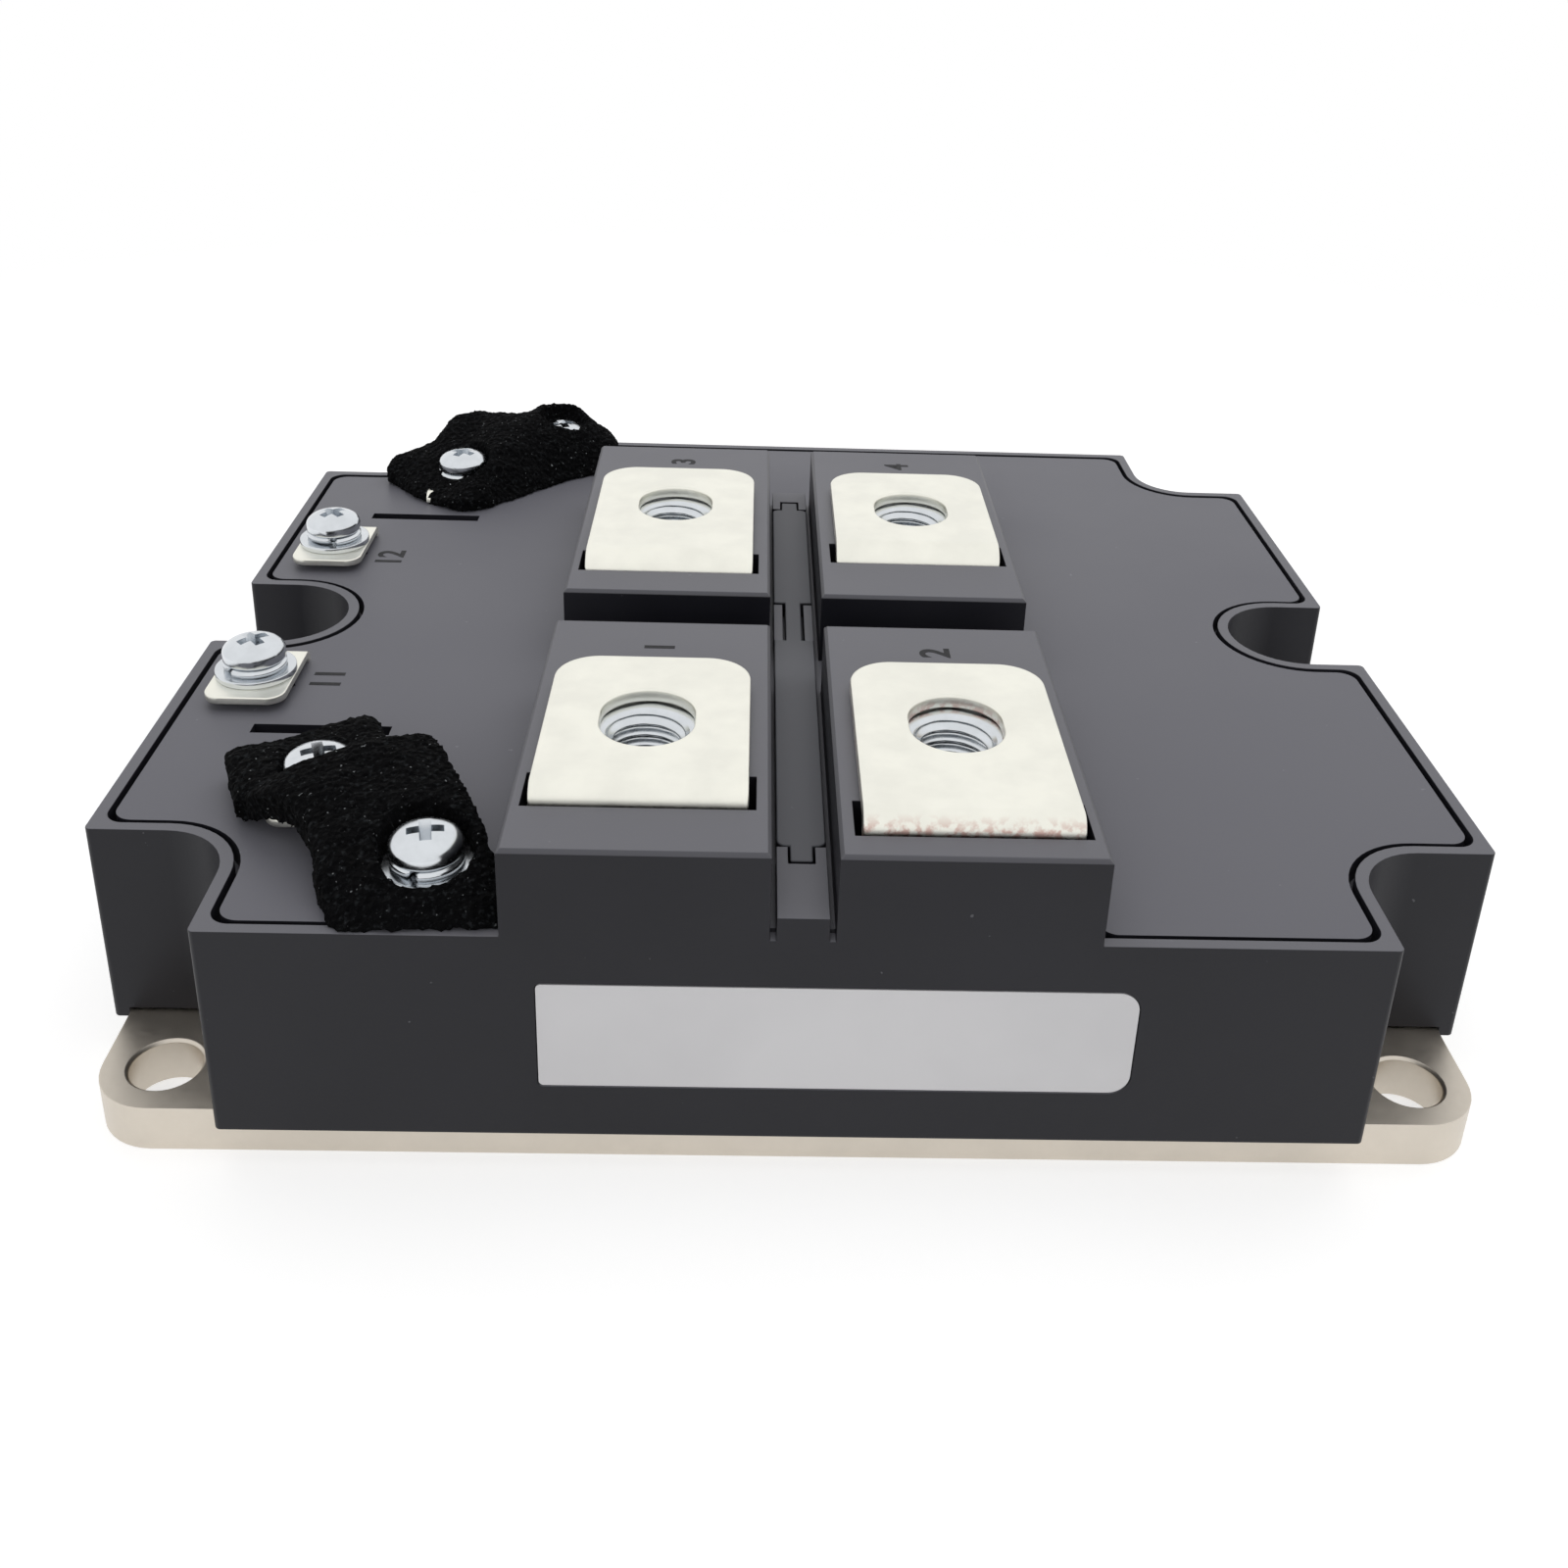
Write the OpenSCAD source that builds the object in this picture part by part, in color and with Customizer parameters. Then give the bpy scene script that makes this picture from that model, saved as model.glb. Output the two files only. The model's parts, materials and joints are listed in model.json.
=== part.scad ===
// Dual switch power module in a moulded housing, with four nut-backed screw
// terminals on two pairs of raised blocks and six signal terminals on the left.
// Origin: middle of the baseplate's underside. +Z up, the label side faces -Y.

/* [Mounting] */
// Distance of the mounting holes from the housing's left and right sides
hole_inset_x = 8; // [7:0.5:10]
// Distance of the corner holes from the housing's front and rear
hole_inset_y = 8; // [7:0.5:10]
// Diameter of a mounting hole
mount_hole_d = 7; // [5.5:0.1:8]
// Break on the rims of the mounting holes
mount_hole_break = 0.3; // [0.1:0.1:0.6]

/* [Baseplate] */
// Thickness of the baseplate
base_t = 5; // [4:0.5:8]
// Radius of the baseplate's corners
base_corner_r = 6.2; // [3:0.2:8]

/* [Housing] */
// Width of the housing, left to right
case_w = 140; // [134:1:150]
// Depth of the housing, front to back
case_d = 130; // [124:1:140]
// Height of the housing's rim
rim_z = 27; // [26:0.5:32]
// Thickness of the housing's wall
wall_t = 3; // [2.4:0.1:3.6]
// Radius of the housing's upright edges
case_edge_r = 0.6; // [0.3:0.1:1.2]
// Thickness of the skirt that hides the baseplate's edge
skirt_t = 1.7; // [1.2:0.1:2]
// How far the skirt hangs below the baseplate's top
skirt_drop = 0.8; // [0.4:0.1:2]
// Clearance between the skirt and the baseplate
skirt_fit = 0.1; // [0.05:0.05:0.3]
// Thickness of the adhesive bead between housing and baseplate
bead_t = 0.3; // [0.2:0.1:0.6]

/* [Screw notches] */
// Clear distance from a corner hole's axis to the notch wall beside it
notch_clear_x = 7; // [6:0.5:8]
// Clear distance from a corner hole's axis to the notch wall behind it
notch_clear_y = 8; // [7:0.5:9]
// Radius of the corner notch's inner corner
notch_r = 7; // [4:0.5:9]
// Radius of the round end of the middle notches
side_notch_r = 8.1; // [7:0.1:9]
// Clear distance from a middle hole's axis to the notch's round end
side_notch_clear = 6.3; // [5.5:0.1:7]

/* [Lid] */
// Thickness of the lid
lid_t = 2.5; // [2:0.1:3]
// Width of the rim that stays visible round the lid
rim_t = 1.3; // [1:0.1:1.6]
// Gap between the lid and the rim
lid_gap = 0.6; // [0.3:0.1:0.9]
// How far the lid lies below the rim
lid_drop = 0.1; // [0:0.1:0.5]
// Radius of the lid's outer corners
lid_corner_r = 2; // [1:0.5:3]
// Gap between the lid and the terminal blocks
lid_block_gap = 0.25; // [0.1:0.05:0.6]
// Radius of the lid's corners beside the blocks
lid_block_corner_r = 1.6; // [0.5:0.1:3]
// Length of a creepage groove in the lid
groove_l = 15; // [8:1:18]
// Width of a creepage groove
groove_w = 1.9; // [1:0.1:3]
// Depth of a creepage groove
groove_depth = 1.6; // [0.5:0.1:1.8]
// Distance of a creepage groove's middle from the housing's left side
groove_inset = 18.1; // [16:0.1:20]
// Distance of the front creepage groove from the module's middle
groove_front_y = 28.7; // [26:0.1:32]
// Distance of the rear creepage groove from the module's middle
groove_rear_y = 32; // [26:0.1:34]

/* [Terminal blocks] */
// Height of the terminal blocks' top
block_top_z = 36.2; // [34:0.2:40]
// Thickness of the blocks' outer wall beside a terminal's leg
block_outer_wall = 1.15; // [1:0.05:2]
// Thickness of the blocks' inner wall beside a terminal's leg
block_inner_wall = 1.45; // [1.2:0.05:2]
// Width of the channel between the left and right blocks
channel_w = 6; // [4.5:0.5:7]
// Width of the slot between the front and rear blocks
cross_slot_w = 7.8; // [5:0.2:10]
// Place of the slot's middle, in front of the module's middle
cross_slot_y = 15; // [13:0.5:17]
// Depth of the slot below the blocks' top
cross_slot_depth = 11.8; // [6:0.2:14]
// Distance of the rear blocks' back from the module's middle
block_rear_y = 38.4; // [36:0.2:44]
// Room between the gate board and the underside of the moulding under the blocks
board_room = 2.9; // [2:0.1:4]
// Bevel along the blocks' top edges
block_bevel = 0.4; // [0.2:0.1:0.8]

/* [Centre bar] */
// Depth of the centre bar's top below the blocks' top
bar_depth = 6.7; // [5:0.1:8]
// Thickness of the centre bar
bar_t = 2; // [1.5:0.1:3]
// Gap on each side of the centre bar in the channel
bar_side_gap = 0.6; // [0.3:0.1:1]
// Distance of the bar's front end from the housing's front
bar_front_inset = 11.6; // [9:0.2:15]
// Distance of the bar's rear end from the rear blocks' back
bar_rear_inset = 6.7; // [5.5:0.1:12]
// Radius of the bar's corners
bar_corner_r = 0.9; // [0.3:0.1:1.2]
// Width of the tongues on the bar's ends
tongue_w = 2.2; // [1.5:0.1:2.6]
// Length of the tongues
tongue_l = 2.6; // [1.5:0.1:3.5]
// Clearance round the tongues
tongue_fit = 0.2; // [0.1:0.05:0.3]
// Length of the locking ribs beside the bar
rib_l = 10; // [6:0.5:14]
// Width of a locking rib
rib_w = 1.1; // [0.8:0.1:1.3]
// Place of the locking ribs' middle, in front of the module's middle
rib_y = 4.4; // [2:0.2:8]
// How far the locking ribs stay below the bar's top
rib_drop = 0.2; // [0.1:0.1:0.6]

/* [Main terminals] */
// Gap between the housing's front wall and terminal 2's leg
leg_wall_gap = 0.6; // [0.3:0.1:1.5]
// Distance of terminal 3's leg from the rear blocks' front
leg_block_gap = 6; // [5:0.5:8]
// Gap between a terminal's tab and its block
tab_lift = 0.3; // [0.1:0.05:0.6]
// Thickness of the terminal sheet
tab_t = 1.5; // [1:0.1:2]
// Width of a terminal
tab_w = 20.3; // [18:0.1:21]
// Width of the screw hole in a terminal
tab_hole_w = 9.4; // [8.6:0.1:11]
// Length of the screw hole in a terminal
tab_hole_l = 11.2; // [11:0.1:13]
// Distance from a screw hole's middle to the terminal's free end
tab_end = 13; // [11:0.5:14]
// Radius of the terminal's free corners
tab_corner_r = 4.6; // [2:0.2:6]
// Distance from the screw hole's middle to the leg's face, terminals 1 and 4
leg_near = 13.5; // [13:0.1:14]
// Distance from the screw hole's middle to the leg's face, terminals 2 and 3
leg_far = 17.4; // [16:0.1:18]
// Inner radius of the front terminals' bend
front_bend_r = 0.4; // [0.3:0.1:1.5]
// Inner radius of the rear terminals' bend
rear_bend_r = 1.7; // [0.4:0.1:2]
// Length of a leg's slot in the block
leg_slot_l = 5.8; // [4:0.1:6]
// Clearance in front of a leg in its slot
leg_slot_fit = 0.25; // [0.1:0.05:0.5]
// Clearance on each side of a leg in its slot
leg_slot_side = 0.7; // [0.3:0.1:1]
// Width of a leg's foot on its circuit
foot_w = 14; // [10:1:16]
// Room for the bond wires between a foot and its pad's rear edge
foot_room = 2; // [1.6:0.2:3]

/* [Terminal nuts] */
// Width across flats of a terminal nut
nut_af = 13; // [12:0.5:13.5]
// Height of a terminal nut
nut_h = 6.5; // [5:0.1:6.8]
// Core diameter of a terminal nut's thread
nut_bore_d = 6.8; // [6.4:0.1:7.2]
// Break at the mouths of the nut's thread
nut_break = 0.8; // [0.4:0.1:1]
// Clearance round a nut in its pocket
nut_fit = 0.2; // [0.1:0.05:0.3]
// Gap between a nut and its terminal
nut_gap = 0.1; // [0.05:0.05:0.2]
// Diameter of the screw well below a nut
well_d = 10; // [9:0.5:11]
// Thickness of the floor under a screw well
well_floor_t = 2; // [1.2:0.1:3]

/* [Signal terminals] */
// Distance of the two middle signal screws from the housing's left side
sig_mid_inset = 8.5; // [8:0.1:9.5]
// Distance of the middle signal screws from the module's middle, front and back
sig_mid_y = 18.8; // [18.4:0.1:21]
// Distance of signal screws 2 and 5 from the corner notch's side wall
sig_inner_gap_x = 6.8; // [6:0.1:8]
// Distance of signal screws 2 and 5 from the corner notch's back wall
sig_inner_gap_y = 6; // [5.4:0.2:7]
// Distance of signal screws 1 and 6 from the terminal blocks
sig_outer_gap = 7.7; // [7:0.1:8.5]
// Distance of signal screws 1 and 6 from the housing's front and rear
sig_outer_inset = 8.2; // [8:0.1:9]
// Width of a signal terminal
sig_w = 9; // [7:0.1:9.4]
// Thickness of a signal terminal
sig_t = 0.9; // [0.6:0.1:1.2]
// Gap between a signal terminal and the lid
sig_lift = 0.8; // [0.7:0.1:1.5]
// Distance from a signal screw to its terminal's free end
sig_free = 6.3; // [5:0.1:6.6]
// Distance from a signal screw to its terminal's leg
sig_leg = 6.2; // [5.8:0.1:6.6]
// Radius of a signal terminal's free corners
sig_corner_r = 2; // [1:0.2:3]
// Inner radius of a signal terminal's bend
sig_bend_r = 0.4; // [0.2:0.1:0.4]
// Gap between a signal terminal's shoulders and the lid
sig_shoulder = 0.2; // [0.1:0.05:0.25]
// Width of a signal terminal's leg
sig_leg_w = 6; // [4:0.5:7]
// Clearance round a signal leg in the lid
sig_slot_fit = 0.4; // [0.2:0.1:0.6]

/* [Signal screws] */
// Diameter of a signal screw's shank
screw_d = 3.9; // [3:0.1:4]
// Length of a signal screw's shank
screw_l = 10; // [8:0.5:11]
// Diameter of a signal screw's head
head_d = 7; // [6.4:0.1:7.6]
// Height of a signal screw's head
head_h = 2.6; // [2:0.1:3]
// Width of the cross recess's arms
recess_w = 1.1; // [0.8:0.1:1.4]
// Length across the cross recess
recess_l = 4; // [3:0.1:4.6]
// Depth of the cross recess
recess_depth = 1.4; // [0.8:0.1:1.6]
// Clearance of the screw in nut, washers and terminal
screw_fit = 0.15; // [0.05:0.05:0.3]
// Outer diameter of a flat washer
washer_d = 9; // [8:0.1:9.2]
// Thickness of a flat washer
washer_t = 0.8; // [0.5:0.1:1]
// Outer diameter of a spring washer
spring_d = 7; // [6.4:0.1:7.6]
// Thickness of a spring washer
spring_t = 1; // [0.8:0.1:1.2]
// Width of a spring washer's split
spring_split = 0.8; // [0.4:0.1:1.2]
// Width across flats of a signal nut
sig_nut_af = 7; // [6:0.1:7.2]
// Height of a signal nut
sig_nut_h = 3.2; // [2.4:0.1:3.4]
// How far a signal nut lies below the lid's top
sig_nut_sink = 0.1; // [0:0.05:0.3]
// Diameter of the boss under the lid round a signal nut
sig_boss_d = 9.8; // [9:0.1:10]
// Thickness of the boss's floor under the screw's end
sig_boss_floor = 0.9; // [0.6:0.1:1.4]

/* [Foam strips] */
// Thickness of the conductive foam
foam_t = 3.4; // [2:0.1:5]
// Clearance round the washers in the foam
foam_fit = 0.3; // [0.1:0.1:0.6]
// Width of the foam's flat end round signal screws 2 and 5
foam_end_w = 15.5; // [14:0.5:16.5]
// Length of that flat end
foam_end_l = 15; // [12:0.5:16]
// Turn of the flat end
foam_end_turn = 27; // [20:1:35]
// Length of the foam's folded part, from one screw to past the other
foam_fold_l = 20; // [18:0.5:22]
// Width of the folded part
foam_fold_w = 16; // [14:0.5:17]
// Turn of the folded part
foam_fold_turn = 30; // [26:1:36]
// How far the folded part lies inwards of the screws, and the flat end outwards
foam_shift_x = 1.4; // [0:0.1:2]
// How far the folded part lies in front of the screws, and the flat end behind
foam_shift_y = 2.6; // [1:0.1:3]
// How much higher the fold lies than the flat end
foam_fold_rise = 1.8; // [0.5:0.1:2.5]

/* [Label] */
// Width of the label plate on the front
label_w = 55.6; // [40:0.2:60]
// Height of the label plate
label_h = 11.6; // [8:0.2:13]
// Place of the label's middle to the right of the module's middle
label_x = 3.6; // [0:0.1:6]
// Height of the label's middle
label_z = 15.9; // [14:0.1:17]
// Thickness of the label
label_t = 0.15; // [0.1:0.05:0.2]
// Radius of the label's right corners
label_corner_r = 2; // [1:0.1:3]
// Depth of the label's recess in the wall
label_recess = 0.2; // [0.2:0.05:0.4]
// Clearance round the label in its recess
label_fit = 0.1; // [0.05:0.05:0.3]

/* [Power circuit] */
// Thickness of the solder under a substrate
solder_t = 0.2; // [0.1:0.05:0.3]
// Thickness of the copper under a ceramic tile
backing_t = 0.3; // [0.2:0.05:0.5]
// Thickness of a ceramic tile
tile_t = 1; // [0.4:0.1:1.2]
// Gap between a tile and the corner notch's wall
tile_gap_x = 1.5; // [1:0.1:3]
// Gap between a tile and the front or rear wall
tile_gap_y = 6.5; // [5.5:0.1:7.5]
// Distance of a tile's inner edge from the middle, left and right
tile_x = 5.5; // [5:0.1:6]
// Distance of a tile's inner edge from the middle, front and back
tile_y = 4.5; // [3.8:0.1:5]
// Margin of the copper at a tile's edge
copper_margin = 1; // [0.6:0.1:1.5]
// Thickness of the circuit copper on a tile
circuit_t = 0.3; // [0.2:0.05:0.5]
// Depth of the pads along a tile's front edge
front_pad_d = 8; // [7:0.5:8.5]
// Width of the foot pad
foot_pad_w = 26; // [24:0.5:26]
// Gap between neighbouring pads
pad_gap = 1.5; // [1:0.1:1.8]
// Side length of a switch chip
igbt_size = 13; // [11:0.5:13.4]
// Side length of a diode chip
diode_size = 10; // [8:0.5:10]
// Thickness of a chip with its solder
chip_t = 0.4; // [0.3:0.05:0.6]
// Gap between a switch chip and the diode chip beside it
chip_gap = 1; // [0.6:0.1:1.5]
// Distance of the front switch chips from the front edge of their copper
chip_front_inset = 1.5; // [1:0.1:2.5]
// Distance of the rear switch chips from the rear edge of their copper
chip_rear_inset = 5; // [3:0.5:6]
// Diameter of a bond wire
wire_d = 0.4; // [0.3:0.05:0.5]
// Spacing of neighbouring bond wires
wire_pitch = 3; // [2:0.2:5]
// Height of a bond wire's loop over the chips, where its span is long enough
wire_rise = 2.5; // [1.5:0.1:4]
// Distance of a bond wire's foot from the edge that it crosses
wire_inset = 0.8; // [0.5:0.1:1]
// Depth of the silicone gel over the baseplate
gel_depth = 8.4; // [8:0.1:9]
// Height kept free of gel over the tiles, for the bond wires
gel_hollow = 7.6; // [7.4:0.1:7.8]

/* [Gate board] */
// Height of the gate board's underside over the baseplate
board_lift = 9.5; // [9.2:0.1:9.8]
// Thickness of the gate board
board_t = 1.6; // [1:0.1:1.6]
// Gap between the gate board and the housing's wall
board_gap = 0.8; // [0.5:0.1:1.5]
// Gap between the gate board's inner edge and the main terminals
board_leg_gap = 3.55; // [3.2:0.05:4]
// Width of the board's arms to the right-hand tiles
board_arm_w = 8; // [4:0.5:8]
// Diameter of a gate pin
pin_d = 1.2; // [0.8:0.1:1.6]
// Distance from a tile's outer edge to its gate pin
pin_inset = 7; // [5:0.5:9]
// Distance from a tile's front edge to its gate pin
pin_y = 5; // [4:0.2:6]
// How far a gate pin stands out of the board
pin_stub = 0.6; // [0.2:0.1:0.7]

/* [Hidden] */
$fn = 48;

// Colours
plastic = "#3a3a40";
lid_plastic = "#55555c";
nickel = "#d9d3c6";
tin = "#eeeee6";
zinc = "#c9cdd2";
black_foam = "#141416";

// Overshoot of a cutter past the face it opens
cut = 1;
// Longer than anything that it has to cut across
far = case_w + case_d;

// Housing
skirt_z = base_t - skirt_drop;
wall_foot_z = base_t + bead_t;
lid_top_z = rim_z - lid_drop;
lid_under_z = lid_top_z - lid_t;
lid_inset = rim_t + lid_gap;
hole_x = case_w / 2 - hole_inset_x;
hole_y = case_d / 2 - hole_inset_y;
notch_x = hole_x - notch_clear_x;
notch_y = hole_y - notch_clear_y;
side_notch_x = hole_x - side_notch_clear + side_notch_r;
base_w = case_w - 2 * (skirt_t + skirt_fit);
base_d = case_d - 2 * (skirt_t + skirt_fit);

// Terminal blocks and centre bar
leg_slot_w = tab_w + 2 * leg_slot_side;
term_x = channel_w / 2 + block_inner_wall + leg_slot_w / 2;
block_x = term_x + leg_slot_w / 2 + block_outer_wall;
board_z = base_t + board_lift;
block_floor_z = board_z + board_t + board_room;
bar_top_z = block_top_z - bar_depth;
front_block_end = -cross_slot_y - cross_slot_w / 2;
rear_block_start = -cross_slot_y + cross_slot_w / 2;
channel_floor_z = bar_top_z - bar_t;
bar_w = channel_w - 2 * bar_side_gap;
bar_front_y = case_d / 2 - bar_front_inset;
bar_rear_y = block_rear_y - bar_rear_inset;

// Main terminals: screw place, distance to the leg's face and bend radius
front_y = -case_d / 2 + wall_t + leg_wall_gap + leg_far;
rear_y = rear_block_start + leg_block_gap + leg_far;
terminals = [
    [-term_x, front_y, leg_near, front_bend_r],
    [term_x, front_y, leg_far, front_bend_r],
    [-term_x, rear_y, leg_far, rear_bend_r],
    [term_x, rear_y, leg_near, rear_bend_r]
];
tab_top_z = block_top_z + tab_lift + tab_t;
nut_top_z = tab_top_z - tab_t - nut_gap;
nut_floor_z = nut_top_z - nut_h;
well_floor_z = block_floor_z + well_floor_t;

// Signal terminals: screw place, and 1 where the leg is at the front
sig_mid_x = sig_mid_inset - case_w / 2;
sig_inner_x = sig_inner_gap_x - notch_x;
sig_inner_y = notch_y - sig_inner_gap_y;
sig_outer_x = -block_x - sig_outer_gap;
sig_outer_y = case_d / 2 - sig_outer_inset;
signals = [
    [sig_outer_x, sig_outer_y, 1],
    [sig_inner_x, sig_inner_y, 1],
    [sig_mid_x, sig_mid_y, 0],
    [sig_mid_x, -sig_mid_y, 0],
    [sig_inner_x, -sig_inner_y, 0],
    [sig_outer_x, -sig_outer_y, 0]
];
sig_under_z = lid_top_z + sig_lift;
sig_top_z = sig_under_z + sig_t;
spring_z = sig_top_z + washer_t;
head_z = spring_z + spring_t;
sig_nut_z = lid_top_z - sig_nut_sink - sig_nut_h;
screw_end_z = head_z - screw_l;
hole_d = screw_d + 2 * screw_fit;

// Power circuit
backing_z = base_t + solder_t;
tile_z = backing_z + backing_t;
circuit_z = tile_z + tile_t;
chip_z = circuit_z + circuit_t;
wire_z = chip_z + chip_t;
foot_reach = copper_margin + front_pad_d - foot_room;
tile_w = notch_x - wall_t - tile_gap_x - tile_x;
tile_d = case_d / 2 - wall_t - tile_gap_y - tile_y;
tiles = [
    [-tile_x - tile_w, -tile_y - tile_d],
    [tile_x, -tile_y - tile_d],
    [-tile_x - tile_w, tile_y],
    [tile_x, tile_y]
];
// Chip places in a tile's own frame: three columns round its middle, two rows
island_y = copper_margin + front_pad_d + pad_gap;
chip_pitch = (igbt_size + diode_size) / 2 + chip_gap;
chip_xs = [tile_w / 2 - chip_pitch, tile_w / 2, tile_w / 2 + chip_pitch];
chip_ys = [
    island_y + chip_front_inset + igbt_size / 2,
    tile_d - copper_margin - chip_rear_inset - igbt_size / 2
];
pin_x = tile_w - pin_inset;
board_edge_x = term_x + tab_w / 2 + board_leg_gap;

// ---- helpers ----

// A block between two corners
module block_between(from, to) {
    translate(from) cube(to - from);
}

// Children in all four quadrants
module in_quadrants() {
    for (mx = [0, 1], my = [0, 1])
        mirror([mx, 0, 0]) mirror([0, my, 0]) children();
}

// What a radius takes off a corner whose material lies towards -x and -y
module corner_tip(at, r) {
    translate(at - [r, r])
        difference() {
            square(r + cut);
            circle(r);
        }
}

// The same, for material towards -x and +y
module corner_tip_up(at, r) {
    translate(at) mirror([0, 1]) corner_tip([0, 0], r);
}

// Outline of the housing, moved inwards and with its outer corners rounded
module plan(inset, r) {
    difference() {
        square([case_w - 2 * inset, case_d - 2 * inset], center = true);
        in_quadrants() {
            corner_notch(inset);
            side_notch(inset);
            corner_tip([case_w / 2 - inset, notch_y - inset], r);
            corner_tip([notch_x - inset, case_d / 2 - inset], r);
            corner_tip_up([case_w / 2 - inset, side_notch_r + inset], r);
        }
    }
}

module corner_notch(inset) {
    r = notch_r + inset;
    translate([notch_x - inset + r, notch_y - inset]) square(far);
    translate([notch_x - inset, notch_y - inset + r]) square(far);
    translate([notch_x - inset + r, notch_y - inset + r]) circle(r);
}

module side_notch(inset) {
    r = side_notch_r + inset;
    translate([side_notch_x, 0]) {
        circle(r);
        translate([0, -r]) square([far, 2 * r]);
    }
}

module rounded_plate(size, r) {
    difference() {
        square(size, center = true);
        in_quadrants() corner_tip(size / 2, r);
    }
}

// Side view of a bent strip, in y and z: a flat top that ends at y = reach and
// a leg whose face stands at y = 0, down to z = -drop, with an inner bend radius
module strip_profile(reach, drop, t, inner_r) {
    r = inner_r + t;
    translate([r, -t]) square([reach - r, t]);
    translate([0, -drop]) square([t, drop - r]);
    intersection() {
        translate([r, -r])
            difference() {
                circle(r);
                circle(inner_r);
            }
        translate([0, -r]) square(r);
    }
}

// Children drawn in y and z, as a strip of width w centred on x = 0
module as_strip(w) {
    rotate([90, 0, 90]) linear_extrude(w, center = true) children();
}

module bore(d, z0, z1) {
    translate([0, 0, z0]) cylinder(h = z1 - z0, d = d);
}

module hex(af, z0, z1) {
    translate([0, 0, z0]) cylinder(h = z1 - z0, d = af / cos(30), $fn = 6);
}

// Nut with its corners turned off and both thread mouths broken
module nut(af, h, d, break_d) {
    difference() {
        intersection() {
            hex(af, 0, h);
            union() {
                turned = af * 0.08;
                cylinder(h = turned, d1 = af * 0.97, d2 = af / cos(30) + 0.1);
                translate([0, 0, turned]) cylinder(h = h - 2 * turned, d = af / cos(30) + 0.1);
                translate([0, 0, h - turned])
                    cylinder(h = turned, d1 = af / cos(30) + 0.1, d2 = af * 0.97);
            }
        }
        bore(d, -cut, h + cut);
        translate([0, 0, -0.01]) cylinder(h = break_d, d1 = d + 2 * break_d, d2 = d);
        translate([0, 0, h - break_d + 0.01]) cylinder(h = break_d, d1 = d, d2 = d + 2 * break_d);
    }
}

// ---- housing ----

module baseplate() {
    color(nickel)
        difference() {
            linear_extrude(base_t) rounded_plate([base_w, base_d], base_corner_r);
            for (x = [-1, 1], y = [-1, 0, 1])
                translate([x * hole_x, y * hole_y, 0]) mounting_hole();
        }
}

module mounting_hole() {
    b = mount_hole_break;
    bore(mount_hole_d, -cut, base_t + cut);
    translate([0, 0, -0.01]) cylinder(h = b, d1 = mount_hole_d + 2 * b, d2 = mount_hole_d);
    translate([0, 0, base_t - b + 0.01])
        cylinder(h = b, d1 = mount_hole_d, d2 = mount_hole_d + 2 * b);
}

// Walls, rim and ledge, open at the bottom, with a skirt round the baseplate
module housing_shell() {
    difference() {
        translate([0, 0, skirt_z]) linear_extrude(rim_z - skirt_z) plan(0, case_edge_r);
        translate([0, 0, skirt_z - cut]) linear_extrude(far) plan(wall_t, case_edge_r);
        translate([0, 0, lid_under_z]) linear_extrude(far) plan(rim_t, lid_corner_r);
        translate([0, 0, skirt_z - cut])
            linear_extrude(wall_foot_z - skirt_z + cut)
                rounded_plate([base_w + 2 * skirt_fit, base_d + 2 * skirt_fit], base_corner_r);
    }
}

// One terminal block with bevelled top edges; a flush side stays sharp
module terminal_block(x0, x1, y0, y1) {
    b = block_bevel;
    difference() {
        block_between([x0, y0, block_floor_z], [x1, y1, block_top_z]);
        for (y = [y0, y1])
            translate([(x0 + x1) / 2, y, block_top_z]) rotate([45, 0, 0])
                cube([far, b * sqrt(2), b * sqrt(2)], center = true);
        for (x = [x0, x1])
            translate([x, (y0 + y1) / 2, block_top_z]) rotate([0, 45, 0])
                cube([b * sqrt(2), far, b * sqrt(2)], center = true);
    }
}

// Keyed seat for one end of the centre bar: dir is 1 where the bar's tongue
// points to +y
module bar_seat(start, end, dir) {
    tongue = [tongue_w + 2 * tongue_fit, tongue_l + tongue_fit];
    inner = dir > 0 ? start : end;
    difference() {
        block_between([-bar_w / 2, start, channel_floor_z - cut], [bar_w / 2, end, bar_top_z]);
        translate([0, inner + dir * (tongue[1] / 2 - cut / 2), channel_floor_z + far / 2])
            cube([tongue[0], tongue[1] + cut, far], center = true);
    }
}

module case_frame() {
    front = -case_d / 2;
    color(plastic)
        difference() {
            union() {
                housing_shell();
                for (m = [0, 1]) mirror([m, 0, 0]) {
                    terminal_block(channel_w / 2, block_x, front, front_block_end);
                    terminal_block(channel_w / 2, block_x, rear_block_start, block_rear_y);
                }
                beam();
                bar_seat(front, -bar_front_y - tongue_fit, -1);
                bar_seat(bar_rear_y + tongue_fit, block_rear_y, 1);
                locking_ribs();
            }
            for (t = terminals) terminal_pocket(t);
            translate([label_x, front, label_z]) rotate([90, 0, 0])
                linear_extrude(2 * label_recess, center = true)
                    label_outline(label_w + 2 * label_fit, label_h + 2 * label_fit,
                        label_corner_r + label_fit);
        }
}

// The moulding that carries the blocks from the front wall to the rear wall
module beam() {
    wall_in = case_d / 2 - rim_t;
    slot_floor_z = block_top_z - cross_slot_depth;
    block_between([-block_x, -wall_in, block_floor_z],
        [block_x, block_rear_y, min(slot_floor_z, channel_floor_z)]);
    block_between([-channel_w / 2 - cut, -wall_in, block_floor_z],
        [channel_w / 2 + cut, block_rear_y, channel_floor_z]);
    block_between([-block_x, block_rear_y - cut, block_floor_z], [block_x, wall_in, lid_under_z]);
}

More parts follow.
